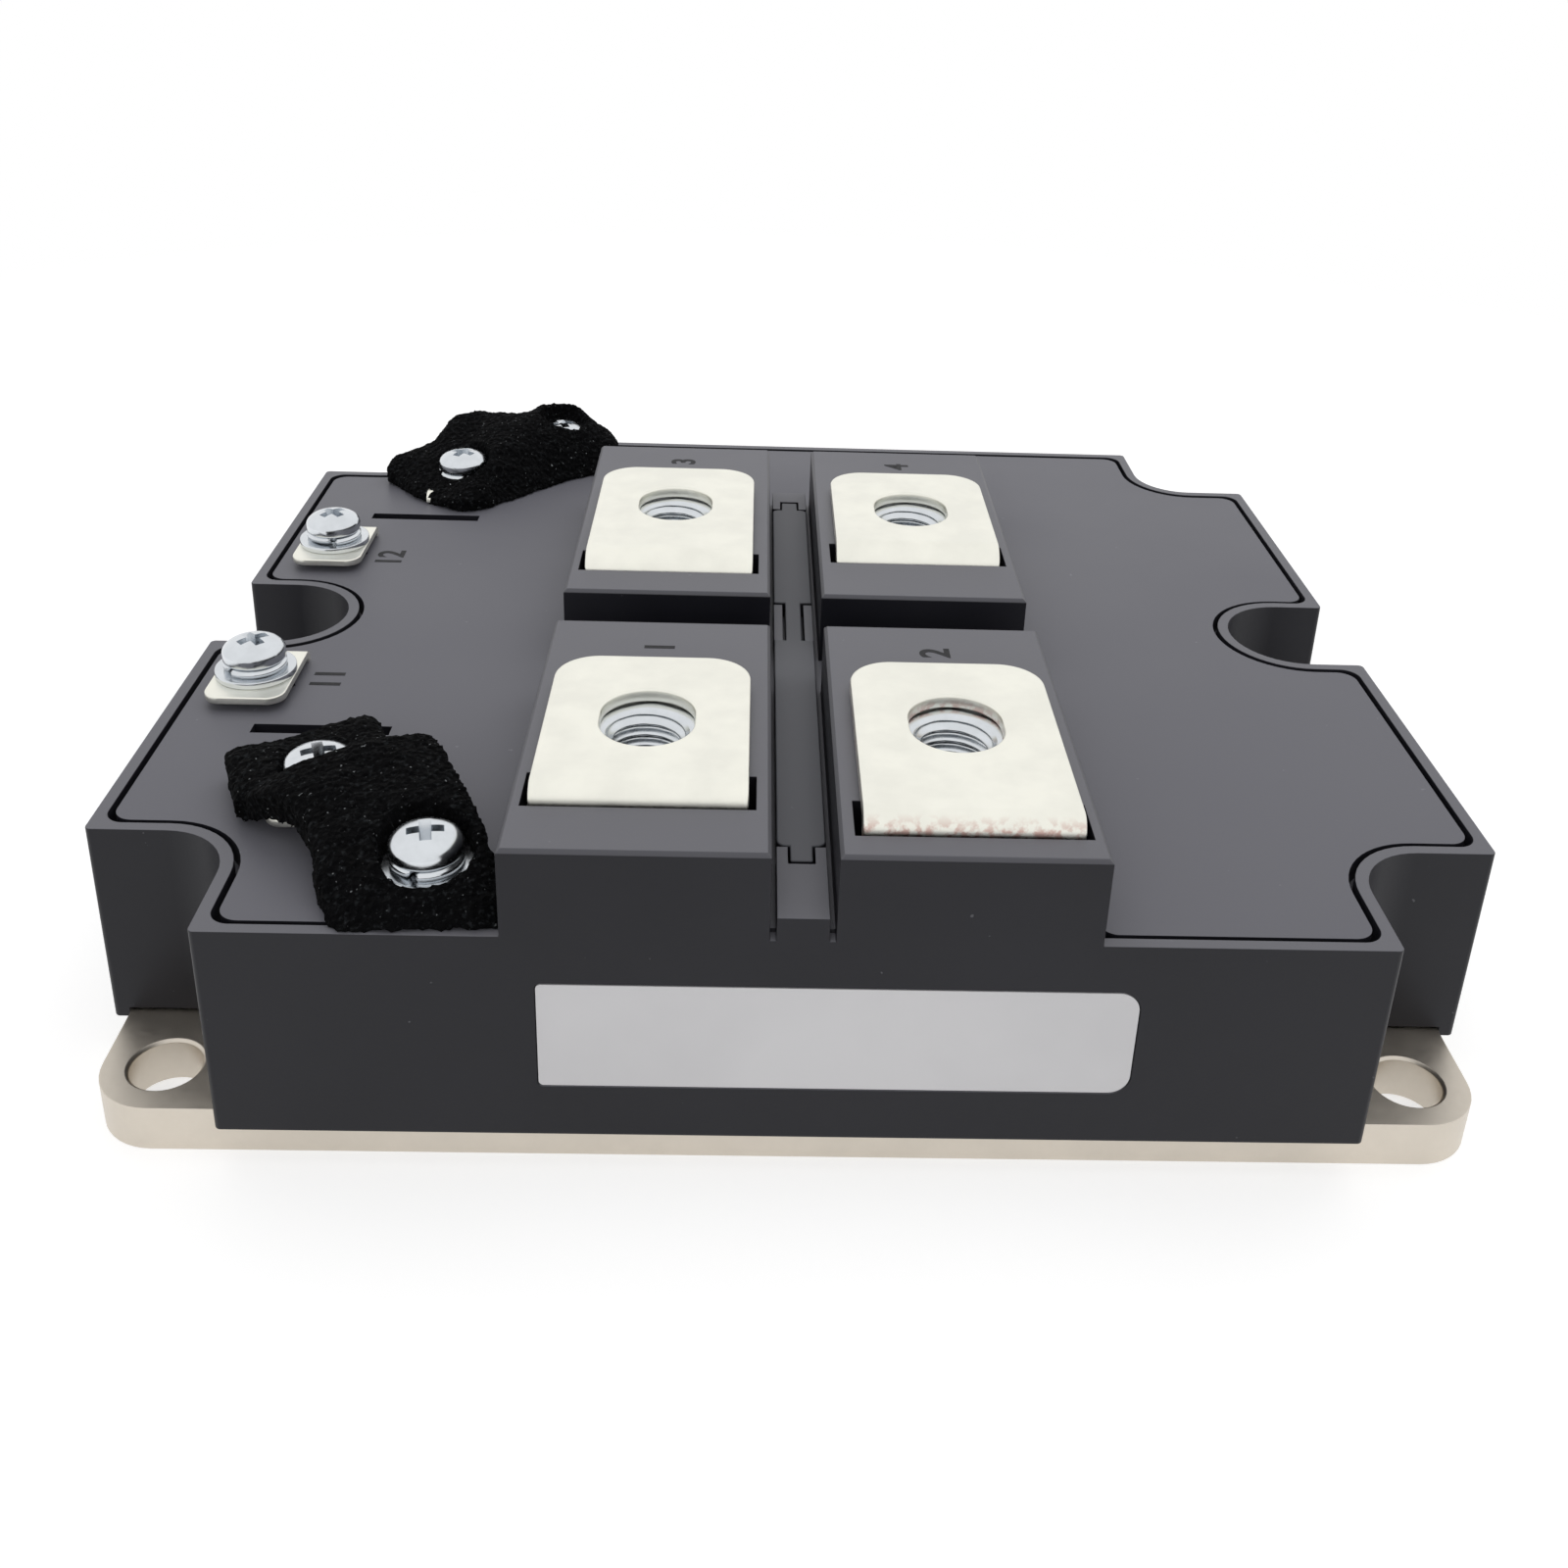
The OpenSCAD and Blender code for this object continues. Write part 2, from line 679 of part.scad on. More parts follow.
module locking_ribs() {
    for (m = [0, 1]) mirror([m, 0, 0])
        translate([bar_w / 2 - rib_w, -rib_y - rib_l / 2, channel_floor_z - cut])
            cube([rib_w, rib_l, bar_t + cut - rib_drop]);
}

// Slot for a leg, pocket for a nut and the well below it
module terminal_pocket(t) {
    slot_front = t[1] - t[2] - leg_slot_fit;
    block_between([t[0] - leg_slot_w / 2, slot_front, block_floor_z - cut],
        [t[0] + leg_slot_w / 2, slot_front + leg_slot_l, block_top_z + cut]);
    translate([t[0], t[1], 0]) {
        hex(nut_af + 2 * nut_fit, nut_floor_z, block_top_z + cut);
        bore(well_d, well_floor_z, block_top_z);
    }
}

module case_adhesive() {
    color("#1b1b1d")
        translate([0, 0, base_t]) linear_extrude(bead_t)
            difference() {
                plan(skirt_t + 2 * skirt_fit, base_corner_r / 4);
                plan(wall_t, case_edge_r);
            }
}

module lid_outline() {
    inner_x = block_x + lid_block_gap;
    front = case_d / 2 - lid_inset;
    difference() {
        plan(lid_inset, lid_corner_r);
        translate([-inner_x, -far]) square([2 * inner_x, far + block_rear_y + lid_block_gap]);
        for (m = [0, 1]) mirror([m, 0])
            translate([inner_x, -front]) rotate(180) corner_tip([0, 0], lid_block_corner_r);
    }
}

module lid() {
    color(lid_plastic)
        difference() {
            union() {
                translate([0, 0, lid_under_z]) linear_extrude(lid_t) lid_outline();
                for (s = signals)
                    translate([s[0], s[1], 0])
                        bore(sig_boss_d, screw_end_z - sig_boss_floor, lid_under_z + lid_t / 2);
            }
            creepage_groove(-groove_front_y);
            creepage_groove(groove_rear_y);
            for (s = signals) signal_opening(s);
        }
}

module creepage_groove(y) {
    middle = groove_inset - case_w / 2;
    translate([middle - groove_l / 2, y - groove_w / 2, lid_top_z - groove_depth])
        cube([groove_l, groove_w, far]);
}

// Leg slot, nut pocket and screw well of one signal terminal
module signal_opening(s) {
    w = sig_leg_w + 2 * sig_slot_fit;
    translate([s[0], s[1], 0]) {
        hex(sig_nut_af + 2 * nut_fit, sig_nut_z, lid_top_z + cut);
        bore(hole_d, screw_end_z - screw_fit, lid_top_z);
        mirror([0, s[2], 0])
            translate([-w / 2, sig_leg - sig_t - sig_slot_fit, lid_under_z - cut])
                cube([w, sig_t + 2 * sig_slot_fit, lid_t + 2 * cut]);
    }
}

module centre_bar() {
    notch = rib_w + bar_side_gap / 2;
    color(lid_plastic)
        translate([0, 0, channel_floor_z]) linear_extrude(bar_t)
            difference() {
                union() {
                    difference() {
                        translate([-bar_w / 2, -bar_front_y])
                            square([bar_w, bar_front_y + bar_rear_y]);
                        for (m = [0, 1]) mirror([m, 0]) {
                            corner_tip([bar_w / 2, bar_rear_y], bar_corner_r);
                            corner_tip_up([bar_w / 2, -bar_front_y], bar_corner_r);
                        }
                    }
                    translate([-tongue_w / 2, -bar_front_y - tongue_l])
                        square([tongue_w, bar_front_y + bar_rear_y + 2 * tongue_l]);
                }
                for (m = [0, 1]) mirror([m, 0])
                    translate([bar_w / 2 - notch, -rib_y - rib_l / 2 - tongue_fit])
                        square([notch + cut, rib_l + 2 * tongue_fit]);
            }
}

// Label outline with round corners on the right and small ones on the left
module label_outline(w, h, r) {
    difference() {
        square([w, h], center = true);
        for (m = [0, 1]) mirror([0, m]) {
            corner_tip([w / 2, h / 2], r);
            mirror([1, 0]) corner_tip([w / 2, h / 2], r / 4);
        }
    }
}

module label_plate() {
    color("#c8c8cb")
        translate([label_x, -case_d / 2 + label_recess, label_z]) rotate([90, 0, 0])
            linear_extrude(label_t) label_outline(label_w, label_h, label_corner_r);
}

// ---- main terminals ----

// Terminal number n: tab with its screw hole, leg and foot, from one sheet
module main_terminal(n) {
    t = terminals[n - 1];
    leg_face = t[1] - t[2];
    foot_l = tiles[n - 1][1] + foot_reach - leg_face;
    color(tin)
        translate([t[0], leg_face, 0])
            difference() {
                union() {
                    translate([0, 0, tab_top_z]) as_strip(tab_w)
                        strip_profile(t[2] + tab_end, tab_top_z - block_floor_z, tab_t, t[3]);
                    block_between([-foot_w / 2, 0, chip_z], [foot_w / 2, tab_t, block_floor_z + cut]);
                    block_between([-foot_w / 2, 0, chip_z], [foot_w / 2, foot_l, chip_z + tab_t]);
                }
                translate([0, t[2], tab_top_z]) screw_slot();
                for (m = [0, 1]) mirror([m, 0, 0])
                    translate([0, 0, tab_top_z - tab_t - cut]) linear_extrude(far)
                        corner_tip([tab_w / 2, t[2] + tab_end], tab_corner_r);
            }
}

module screw_slot() {
    half = (tab_hole_l - tab_hole_w) / 2;
    for (y = [-half, half])
        translate([0, y, 0]) bore(tab_hole_w, -tab_t - cut, cut);
    translate([-tab_hole_w / 2, -half, -tab_t - cut]) cube([tab_hole_w, 2 * half, tab_t + 2 * cut]);
}

module main_terminal_1() { main_terminal(1); }
module main_terminal_2() { main_terminal(2); }
module main_terminal_3() { main_terminal(3); }
module main_terminal_4() { main_terminal(4); }

module terminal_nut(n) {
    color(zinc)
        translate([terminals[n - 1][0], terminals[n - 1][1], nut_floor_z])
            nut(nut_af, nut_h, nut_bore_d, nut_break);
}

module terminal_nut_1() { terminal_nut(1); }
module terminal_nut_2() { terminal_nut(2); }
module terminal_nut_3() { terminal_nut(3); }
module terminal_nut_4() { terminal_nut(4); }

// ---- signal terminals ----

// Children at signal screw s, turned so that the leg's side is +y
module at_signal(s) {
    translate([s[0], s[1], 0]) mirror([0, s[2], 0]) children();
}

module signal_terminal(n) {
    bend_drop = sig_top_z - lid_top_z - sig_shoulder;
    leg_drop = sig_top_z - board_z - board_t;
    color(tin)
        at_signal(signals[n - 1])
            difference() {
                translate([0, sig_leg, sig_top_z]) mirror([0, 1, 0]) union() {
                    as_strip(sig_w)
                        strip_profile(sig_leg + sig_free, bend_drop, sig_t, sig_bend_r);
                    as_strip(sig_leg_w)
                        strip_profile(sig_leg, leg_drop, sig_t, sig_bend_r);
                }
                bore(hole_d, sig_under_z - cut, sig_top_z + cut);
                for (m = [0, 1]) mirror([m, 0, 0])
                    translate([0, 0, sig_under_z - cut]) linear_extrude(sig_t + 2 * cut)
                        corner_tip_up([sig_w / 2, -sig_free], sig_corner_r);
            }
}

module signal_terminal_1() { signal_terminal(1); }
module signal_terminal_2() { signal_terminal(2); }
module signal_terminal_3() { signal_terminal(3); }
module signal_terminal_4() { signal_terminal(4); }
module signal_terminal_5() { signal_terminal(5); }
module signal_terminal_6() { signal_terminal(6); }

// Pan head screw: the head's side is straight below and domed above
module signal_screw() {
    rim_h = head_h * 0.45;
    dome_h = head_h - rim_h;
    dome_r = (head_d * head_d / 4 + dome_h * dome_h) / (2 * dome_h);
    difference() {
        union() {
            bore(screw_d, screw_end_z, head_z + rim_h / 2);
            bore(head_d, head_z, head_z + rim_h);
            intersection() {
                bore(head_d, head_z + rim_h / 2, head_z + head_h + cut);
                translate([0, 0, head_z + head_h - dome_r]) sphere(dome_r);
            }
        }
        for (a = [45, 135])
            translate([0, 0, head_z + head_h - recess_depth + far / 2]) rotate(a)
                cube([recess_l, recess_w, far], center = true);
    }
}

module signal_screws() {
    color(zinc) for (s = signals) translate([s[0], s[1], 0]) signal_screw();
}

module spring_washers() {
    color(zinc)
        for (s = signals)
            translate([s[0], s[1], spring_z])
                difference() {
                    cylinder(h = spring_t, d = spring_d);
                    bore(hole_d, -cut, spring_t + cut);
                    rotate(-60) translate([spring_d / 2, 0, spring_t / 2]) rotate([30, 0, 0])
                        cube([spring_d, spring_split, 4 * spring_t], center = true);
                }
}

module flat_washers() {
    color(zinc)
        for (s = signals)
            translate([s[0], s[1], sig_top_z])
                difference() {
                    cylinder(h = washer_t, d = washer_d);
                    bore(hole_d, -cut, washer_t + cut);
                }
}

module signal_nuts() {
    color(zinc)
        for (s = signals)
            translate([s[0], s[1], sig_nut_z]) nut(sig_nut_af, sig_nut_h, hole_d, nut_break / 2);
}

// ---- foam strips ----

// Plain body of one foam strip over the front pair of signal terminals
module foam_strip() {
    inner = signals[4];
    outer = signals[5];
    middle = [(inner[0] + outer[0]) / 2, (inner[1] + outer[1]) / 2];
    difference() {
        translate([0, 0, sig_top_z]) {
            linear_extrude(foam_t)
                translate([inner[0] - foam_shift_x, inner[1] + foam_shift_y]) rotate(foam_end_turn)
                    square([foam_end_w, foam_end_l], center = true);
            linear_extrude(foam_t + foam_fold_rise)
                translate(middle + [foam_shift_x, -foam_shift_y]) rotate(foam_fold_turn)
                    square([foam_fold_w, foam_fold_l], center = true);
        }
        for (s = [inner, outer])
            translate([s[0], s[1], 0])
                bore(washer_d + 2 * foam_fit, sig_top_z - cut, head_z + head_h + far / 4);
        block_between([-block_x - lid_block_gap, -far, 0], [far, far, far]);
        block_between([-far, -far, 0], [far, -case_d / 2 + rim_t, far]);
    }
}

module foam_strip_front() {
    color(black_foam) foam_strip();
}

module foam_strip_rear() {
    color(black_foam) mirror([0, 1, 0]) foam_strip();
}

// ---- power circuit ----

// A flat sheet over tile n, with a margin at its edges
module sheet(n, margin, z, t) {
    at = tiles[n - 1];
    block_between([at[0] + margin, at[1] + margin, z],
        [at[0] + tile_w - margin, at[1] + tile_d - margin, z + t]);
}

module ceramic_tile(n) {
    color("#e9e6dd") sheet(n, 0, tile_z, tile_t);
}

module ceramic_tile_1() { ceramic_tile(1); }
module ceramic_tile_2() { ceramic_tile(2); }
module ceramic_tile_3() { ceramic_tile(3); }
module ceramic_tile_4() { ceramic_tile(4); }

module solder_layers() {
    color("#9a9ca0") for (n = [1:4]) sheet(n, copper_margin, base_t, solder_t);
}

module copper_backings() {
    color("#b87048") for (n = [1:4]) sheet(n, copper_margin, backing_z, backing_t);
}

// Children in tile n's own frame: x from its inner edge outwards, y from its
// front edge backwards
module on_tile(n) {
    side = tiles[n - 1][0] < 0 ? 1 : 0;
    mirror([side, 0, 0]) translate([tile_x, tiles[n - 1][1], 0]) children();
}

module copper_circuits() {
    m = copper_margin;
    gate_x = m + foot_pad_w + pad_gap;
    color("#c07a50")
        for (n = [1:4]) on_tile(n) {
            block_between([m, m, circuit_z], [m + foot_pad_w, m + front_pad_d, chip_z]);
            block_between([gate_x, m, circuit_z], [tile_w - m, m + front_pad_d, chip_z]);
            block_between([m, island_y, circuit_z], [tile_w - m, tile_d - m, chip_z]);
        }
}

// A chip at a column and row: columns 0 and 2 hold switches, 1 holds diodes
module chip(column, row, size) {
    translate([chip_xs[column] - size / 2, chip_ys[row] - size / 2, chip_z])
        cube([size, size, chip_t]);
}

module igbt_chips() {
    color("#707884") for (n = [1:4]) on_tile(n)
        for (column = [0, 2], row = [0, 1]) chip(column, row, igbt_size);
}

module diode_chips() {
    color("#8a8f98") for (n = [1:4]) on_tile(n)
        for (row = [0, 1]) chip(1, row, diode_size);
}

// A wire in y and z from foot to foot, its front foot lower by the given drop
module bond_wire(from, to, drop) {
    r = min(wire_rise, (to - from) / 2);
    translate([0, from, 0]) wire_foot(r);
    mirror([0, 1, 0]) translate([0, -to, 0]) wire_foot(r);
    if (to - from > 2 * r)
        translate([0, from + r, r]) rotate([-90, 0, 0]) wire_length(to - from - 2 * r);
    if (drop > 0) translate([0, from, -drop]) wire_length(drop);
}

// A quarter bend that rises from a foot and turns towards +y
module wire_foot(r) {
    translate([0, r, 0]) rotate([90, 0, -90]) rotate_extrude(angle = 90)
        translate([r, 0]) circle(d = wire_d, $fn = 8);
}

module wire_length(l) {
    cylinder(h = l, d = wire_d, $fn = 8);
}

// Wires from switch to switch, from switch to pad and from diode to switch
module bond_wires() {
    half = igbt_size / 2 - wire_inset;
    color("#d6d6d6")
        for (n = [1:4]) on_tile(n)
            for (w = [-wire_pitch / 2, wire_pitch / 2]) {
                for (column = [0, 2]) translate([chip_xs[column] + w, 0, wire_z]) {
                    bond_wire(chip_ys[0] + half, chip_ys[1] - half, 0);
                    bond_wire(copper_margin + front_pad_d - wire_inset, chip_ys[0] - half, chip_t);
                }
                for (m = [0, 1], y = chip_ys)
                    translate([chip_xs[1], y + w, wire_z]) mirror([m, 0, 0]) rotate(-90)
                        bond_wire(diode_size / 2 - wire_inset, chip_pitch - half, 0);
            }
}

// Gel that floods the circuit, left open over the tiles for their chips and wires
module silicone_gel() {
    color("#dfe4e6")
        difference() {
            translate([0, 0, base_t]) linear_extrude(gel_depth) plan(wall_t, case_edge_r);
            for (n = [1:4]) sheet(n, 0, base_t - cut, gel_hollow + cut);
            for (n = [1:4]) leg_clearance(n);
            gate_pins();
        }
}

module leg_clearance(n) {
    t = terminals[n - 1];
    leg_face = t[1] - t[2];
    foot_end = tiles[n - 1][1] + foot_reach;
    block_between([t[0] - foot_w / 2, leg_face, base_t], [t[0] + foot_w / 2, leg_face + tab_t, far]);
    block_between([t[0] - foot_w / 2, leg_face, chip_z], [t[0] + foot_w / 2, foot_end, chip_z + tab_t]);
}

// ---- gate board ----

module gate_board() {
    color("#2f6b45")
        translate([0, 0, board_z]) linear_extrude(board_t)
            difference() {
                intersection() {
                    plan(wall_t + board_gap, case_edge_r);
                    union() {
                        translate([-far, -far]) square([far - board_edge_x, 2 * far]);
                        for (n = [2, 4]) board_arm(n);
                    }
                }
                for (n = [1:4]) on_tile(n) translate([pin_x, pin_y]) circle(d = pin_d);
            }
}

module board_arm(n) {
    y = tiles[n - 1][1] + pin_y;
    reach = tile_x + pin_x + board_arm_w / 2;
    translate([-board_edge_x - cut, y - board_arm_w / 2])
        square([reach + board_edge_x + cut, board_arm_w]);
}

module gate_pins() {
    top = board_z + board_t + pin_stub;
    color("#d8c27a")
        for (n = [1:4]) on_tile(n) translate([pin_x, pin_y, 0]) bore(pin_d, chip_z, top);
}

baseplate();
case_frame();
case_adhesive();
lid();
centre_bar();
label_plate();
main_terminal_1();
main_terminal_2();
main_terminal_3();
main_terminal_4();
terminal_nut_1();
terminal_nut_2();
terminal_nut_3();
terminal_nut_4();
signal_terminal_1();
signal_terminal_2();
signal_terminal_3();
signal_terminal_4();
signal_terminal_5();
signal_terminal_6();
signal_screws();
spring_washers();
flat_washers();
signal_nuts();
foam_strip_front();
foam_strip_rear();
ceramic_tile_1();
ceramic_tile_2();
ceramic_tile_3();
ceramic_tile_4();
solder_layers();
copper_backings();
copper_circuits();
igbt_chips();
diode_chips();
bond_wires();
silicone_gel();
gate_board();
gate_pins();
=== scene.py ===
# Dresses the power module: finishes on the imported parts, and modelled nuts, screws,
# spring washers, foam strips and plain digits. Metres, in the parts' own frame.
import json
import math

import bmesh
import bpy
from mathutils import Matrix, Vector, noise

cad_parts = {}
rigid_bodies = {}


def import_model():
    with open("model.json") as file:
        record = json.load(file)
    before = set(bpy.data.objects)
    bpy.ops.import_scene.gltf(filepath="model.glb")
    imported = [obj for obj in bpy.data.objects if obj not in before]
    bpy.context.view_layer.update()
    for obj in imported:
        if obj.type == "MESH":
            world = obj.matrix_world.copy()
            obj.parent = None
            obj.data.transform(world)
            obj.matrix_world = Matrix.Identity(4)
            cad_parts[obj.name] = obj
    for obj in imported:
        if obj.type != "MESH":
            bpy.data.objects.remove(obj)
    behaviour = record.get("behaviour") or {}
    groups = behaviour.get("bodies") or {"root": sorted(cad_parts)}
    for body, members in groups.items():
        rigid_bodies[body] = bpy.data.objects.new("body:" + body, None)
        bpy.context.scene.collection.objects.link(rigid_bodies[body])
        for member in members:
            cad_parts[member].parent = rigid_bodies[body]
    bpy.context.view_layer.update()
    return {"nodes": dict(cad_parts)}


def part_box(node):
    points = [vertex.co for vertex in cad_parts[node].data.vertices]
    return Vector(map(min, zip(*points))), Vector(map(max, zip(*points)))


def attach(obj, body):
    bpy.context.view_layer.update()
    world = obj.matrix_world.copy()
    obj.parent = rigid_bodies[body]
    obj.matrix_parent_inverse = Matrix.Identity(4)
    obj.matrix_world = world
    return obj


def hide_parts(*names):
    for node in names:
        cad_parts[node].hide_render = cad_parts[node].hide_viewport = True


for leftover in list(bpy.data.objects):
    bpy.data.objects.remove(leftover)

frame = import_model()
nodes = frame["nodes"]
mm = 0.001


# places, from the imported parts
def middleOf(node):
    low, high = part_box(node)
    return (Vector(low) + Vector(high)) / 2


def topOf(node):
    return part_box(node)[1][2]


signalPlaces = [middleOf(f"signal_terminal_{n}").to_2d() for n in range(1, 7)]
nutPlaces = [middleOf(f"terminal_nut_{n}").to_2d() for n in range(1, 5)]
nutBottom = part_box("terminal_nut_1")[0][2]
lidTop = topOf("lid")
blockTop = topOf("case_frame")
washerTop = topOf("flat_washers")
springTop = topOf("spring_washers")
headTop = topOf("signal_screws")


def paint(red, green, blue):
    # a colour as it shows on a screen, 0 to 255, as Blender's linear values
    def linear(value):
        value /= 255
        return value / 12.92 if value <= 0.04045 else ((value + 0.055) / 1.055) ** 2.4
    return (linear(red), linear(green), linear(blue), 1)


class Finish:
    def __init__(self, name, color, roughness, metallic=0.0, ior=1.5):
        self.material = bpy.data.materials.new(name)
        self.material.use_nodes = True
        self.tree = self.material.node_tree
        self.shader = self.tree.nodes["Principled BSDF"]
        self.shader.inputs["Base Color"].default_value = color
        self.shader.inputs["Roughness"].default_value = roughness
        self.shader.inputs["Metallic"].default_value = metallic
        self.shader.inputs["IOR"].default_value = ior
        self.color = color
        self.roughness = roughness
        self.place = self.tree.nodes.new("ShaderNodeTexCoord").outputs["Object"]

    def add(self, kind, **values):
        node = self.tree.nodes.new(kind)
        for key, value in values.items():
            if hasattr(node, key):
                setattr(node, key, value)
            else:
                node.inputs[key.replace("_", " ")].default_value = value
        return node

    def link(self, source, target):
        self.tree.links.new(source, target)

    def stretched(self, scale):
        mapping = self.add("ShaderNodeMapping")
        mapping.inputs["Scale"].default_value = scale
        self.link(self.place, mapping.inputs["Vector"])
        return mapping.outputs["Vector"]

    def clouds(self, size, detail=3.0, stretch=None):
        # noise whose features are about this size, in metres
        node = self.add("ShaderNodeTexNoise", Scale=1 / size, Detail=detail)
        self.link(self.stretched(stretch) if stretch else self.place, node.inputs["Vector"])
        return node.outputs["Fac"]

    def cells(self, size):
        node = self.add("ShaderNodeTexVoronoi", Scale=1 / size, feature="F1")
        self.link(self.place, node.inputs["Vector"])
        return node

    def between(self, source, fromLow, fromHigh, low=0.0, high=1.0):
        node = self.add("ShaderNodeMapRange")
        for label, value in zip(("From Min", "From Max", "To Min", "To Max"), (fromLow, fromHigh, low, high)):
            node.inputs[label].default_value = value
        self.link(source, node.inputs["Value"])
        return node.outputs["Result"]

    def blend(self, factor, low, high):
        # low and high are colours or colour sockets
        node = self.tree.nodes.new("ShaderNodeMix")
        node.data_type = "RGBA"
        factorIn, lowIn, highIn, colorOut = 0, 6, 7, 2  # a Mix node's own colour sockets
        for index, value in ((lowIn, low), (highIn, high)):
            if isinstance(value, tuple):
                node.inputs[index].default_value = value
            else:
                self.link(value, node.inputs[index])
        self.link(factor, node.inputs[factorIn])
        return node.outputs[colorOut]

    def join(self, operation, first, second):
        node = self.add("ShaderNodeMath", operation=operation)
        for index, value in enumerate((first, second)):
            if isinstance(value, (int, float)):
                node.inputs[index].default_value = value
            else:
                self.link(value, node.inputs[index])
        return node.outputs["Value"]

    def axis(self, letter):
        node = self.add("ShaderNodeSeparateXYZ")
        self.link(self.place, node.inputs["Vector"])
        return node.outputs[letter]

    def paintWith(self, socket):
        self.link(socket, self.shader.inputs["Base Color"])

    def roughenWith(self, source, spread):
        low, high = self.roughness - spread, self.roughness + spread
        self.link(self.between(source, 0.3, 0.7, low, high), self.shader.inputs["Roughness"])

    def raiseWith(self, height, distance, strength=1.0, under=None):
        node = self.add("ShaderNodeBump", Strength=strength, Distance=distance)
        self.link(height, node.inputs["Height"])
        if under:
            self.link(under, node.inputs["Normal"])
        self.link(node.outputs["Normal"], self.shader.inputs["Normal"])
        return node.outputs["Normal"]


def lighter(color, share):
    return tuple(min(1.0, channel * share) for channel in color[:3]) + (1,)


plasticLook = {
    "ior": 1.36, "paintedTopLightFrom": 0.35, "paintedTopLightTo": 0.95,  # painted top light, by how far a face looks up, 1 is level
    "cloudSize": 0.03, "cloudShare": 0.03, "cloudColor": paint(150, 150, 158), "roughSpread": 0.05,
    "speckSize": 0.0011, "speckFrom": 0.76, "speckTo": 0.8,
    "speckShare": 0.22, "speckColor": paint(170, 170, 175),
    "grainSize": 0.00035, "grainDepth": 0.00002, "grainStrength": 0.35,
    "waveSize": 0.012, "waveDepth": 0.00012, "waveStrength": 0.2,
}


def mouldedPlastic(name, wallsPaintedShade, topsPaintedLight, roughness):
    # upward faces are painted pale, standing in for the light they catch; walls are painted dark, standing in
    # for their shade
    look = plasticLook
    finish = Finish(name, wallsPaintedShade, roughness, ior=look["ior"])
    cloudy = finish.clouds(look["cloudSize"], 4)
    normal = finish.add("ShaderNodeSeparateXYZ")
    finish.link(finish.add("ShaderNodeNewGeometry").outputs["Normal"], normal.inputs["Vector"])
    # painted light and shade: faces that look up get the pale colour, walls keep the dark one
    paintedTopLight = finish.between(normal.outputs["Z"], look["paintedTopLightFrom"], look["paintedTopLightTo"])
    base = finish.blend(paintedTopLight, wallsPaintedShade, topsPaintedLight)
    body = finish.blend(finish.between(cloudy, 0.3, 0.7, 0.0, look["cloudShare"]), base, look["cloudColor"])
    speck = finish.between(finish.clouds(look["speckSize"], 2), look["speckFrom"], look["speckTo"])
    speck = finish.join("MULTIPLY", speck, look["speckShare"])
    finish.paintWith(finish.blend(speck, body, look["speckColor"]))
    finish.roughenWith(cloudy, look["roughSpread"])
    grain = finish.raiseWith(finish.clouds(look["grainSize"], 2), look["grainDepth"], look["grainStrength"])
    finish.raiseWith(finish.clouds(look["waveSize"], 2), look["waveDepth"], look["waveStrength"], grain)
    return finish.material


plateLook = {
    "brushSize": 0.0006, "brushDepth": 0.00002, "brushStrength": 0.15, "roughSpread": 0.06,
    "dark": 0.96, "pale": 1.03, "spotsFrom": 0.46, "spotsTo": 0.6,
}


def platedMetal(name, color, roughness, cloudSize, brush=(1, 1, 1), stain=None):
    look = plateLook
    finish = Finish(name, color, roughness, 1.0)
    cloudy = finish.clouds(cloudSize, 5)
    brushed = finish.clouds(look["brushSize"], 3, brush)
    dark, pale = lighter(color, look["dark"]), lighter(color, look["pale"])
    mottled = finish.blend(finish.between(cloudy, 0.35, 0.65), dark, pale)
    if stain:
        # the plating wears through in spots low on the bent ends
        low = finish.between(finish.axis("Z"), stain["top"], stain["full"])
        spots = finish.between(finish.clouds(stain["size"], 3), look["spotsFrom"], look["spotsTo"])
        mottled = finish.blend(finish.join("MULTIPLY", low, spots), mottled, stain["color"])
    finish.paintWith(mottled)
    grey = finish.join("ADD", finish.join("MULTIPLY", cloudy, 0.5), finish.join("MULTIPLY", brushed, 0.5))
    finish.roughenWith(grey, look["roughSpread"])
    finish.raiseWith(brushed, look["brushDepth"], look["brushStrength"])
    return finish.material


solidLook = {"dark": 0.88, "pale": 1.08, "roughSpread": 0.06, "depth": 0.00005, "strength": 0.2}


def plainSolid(name, color, roughness, metallic=0.0, size=0.002):
    look = solidLook
    finish = Finish(name, color, roughness, metallic)
    cloudy = finish.clouds(size, 3)
    dark, pale = lighter(color, look["dark"]), lighter(color, look["pale"])
    finish.paintWith(finish.blend(finish.between(cloudy, 0.3, 0.7), dark, pale))
    finish.roughenWith(cloudy, look["roughSpread"])
    finish.raiseWith(cloudy, look["depth"], look["strength"])
    return finish.material


foamLook = {
    "body": paint(5, 5, 6), "roughness": 0.95, "ior": 1.2, "poreSize": 0.0007, "poreDepth": 0.0006,
    "strandSize": 0.0005, "strandFrom": 0.56, "strandTo": 0.72,
    "gaps": paint(3, 3, 4), "strands": paint(36, 38, 40),
    "glintSize": 0.00045, "glintFrom": 0.72, "glintTo": 0.8, "glints": paint(125, 128, 130),
}


def foamFinish(look):
    finish = Finish("blackFoam", look["body"], look["roughness"], ior=look["ior"])
    pores = finish.cells(look["poreSize"])
    strands = finish.between(finish.clouds(look["strandSize"], 3), look["strandFrom"], look["strandTo"])
    glints = finish.between(finish.clouds(look["glintSize"], 1), look["glintFrom"], look["glintTo"])
    fibre = finish.blend(strands, look["gaps"], look["strands"])
    finish.paintWith(finish.blend(glints, fibre, look["glints"]))
    finish.raiseWith(pores.outputs["Distance"], look["poreDepth"])
    return finish.material


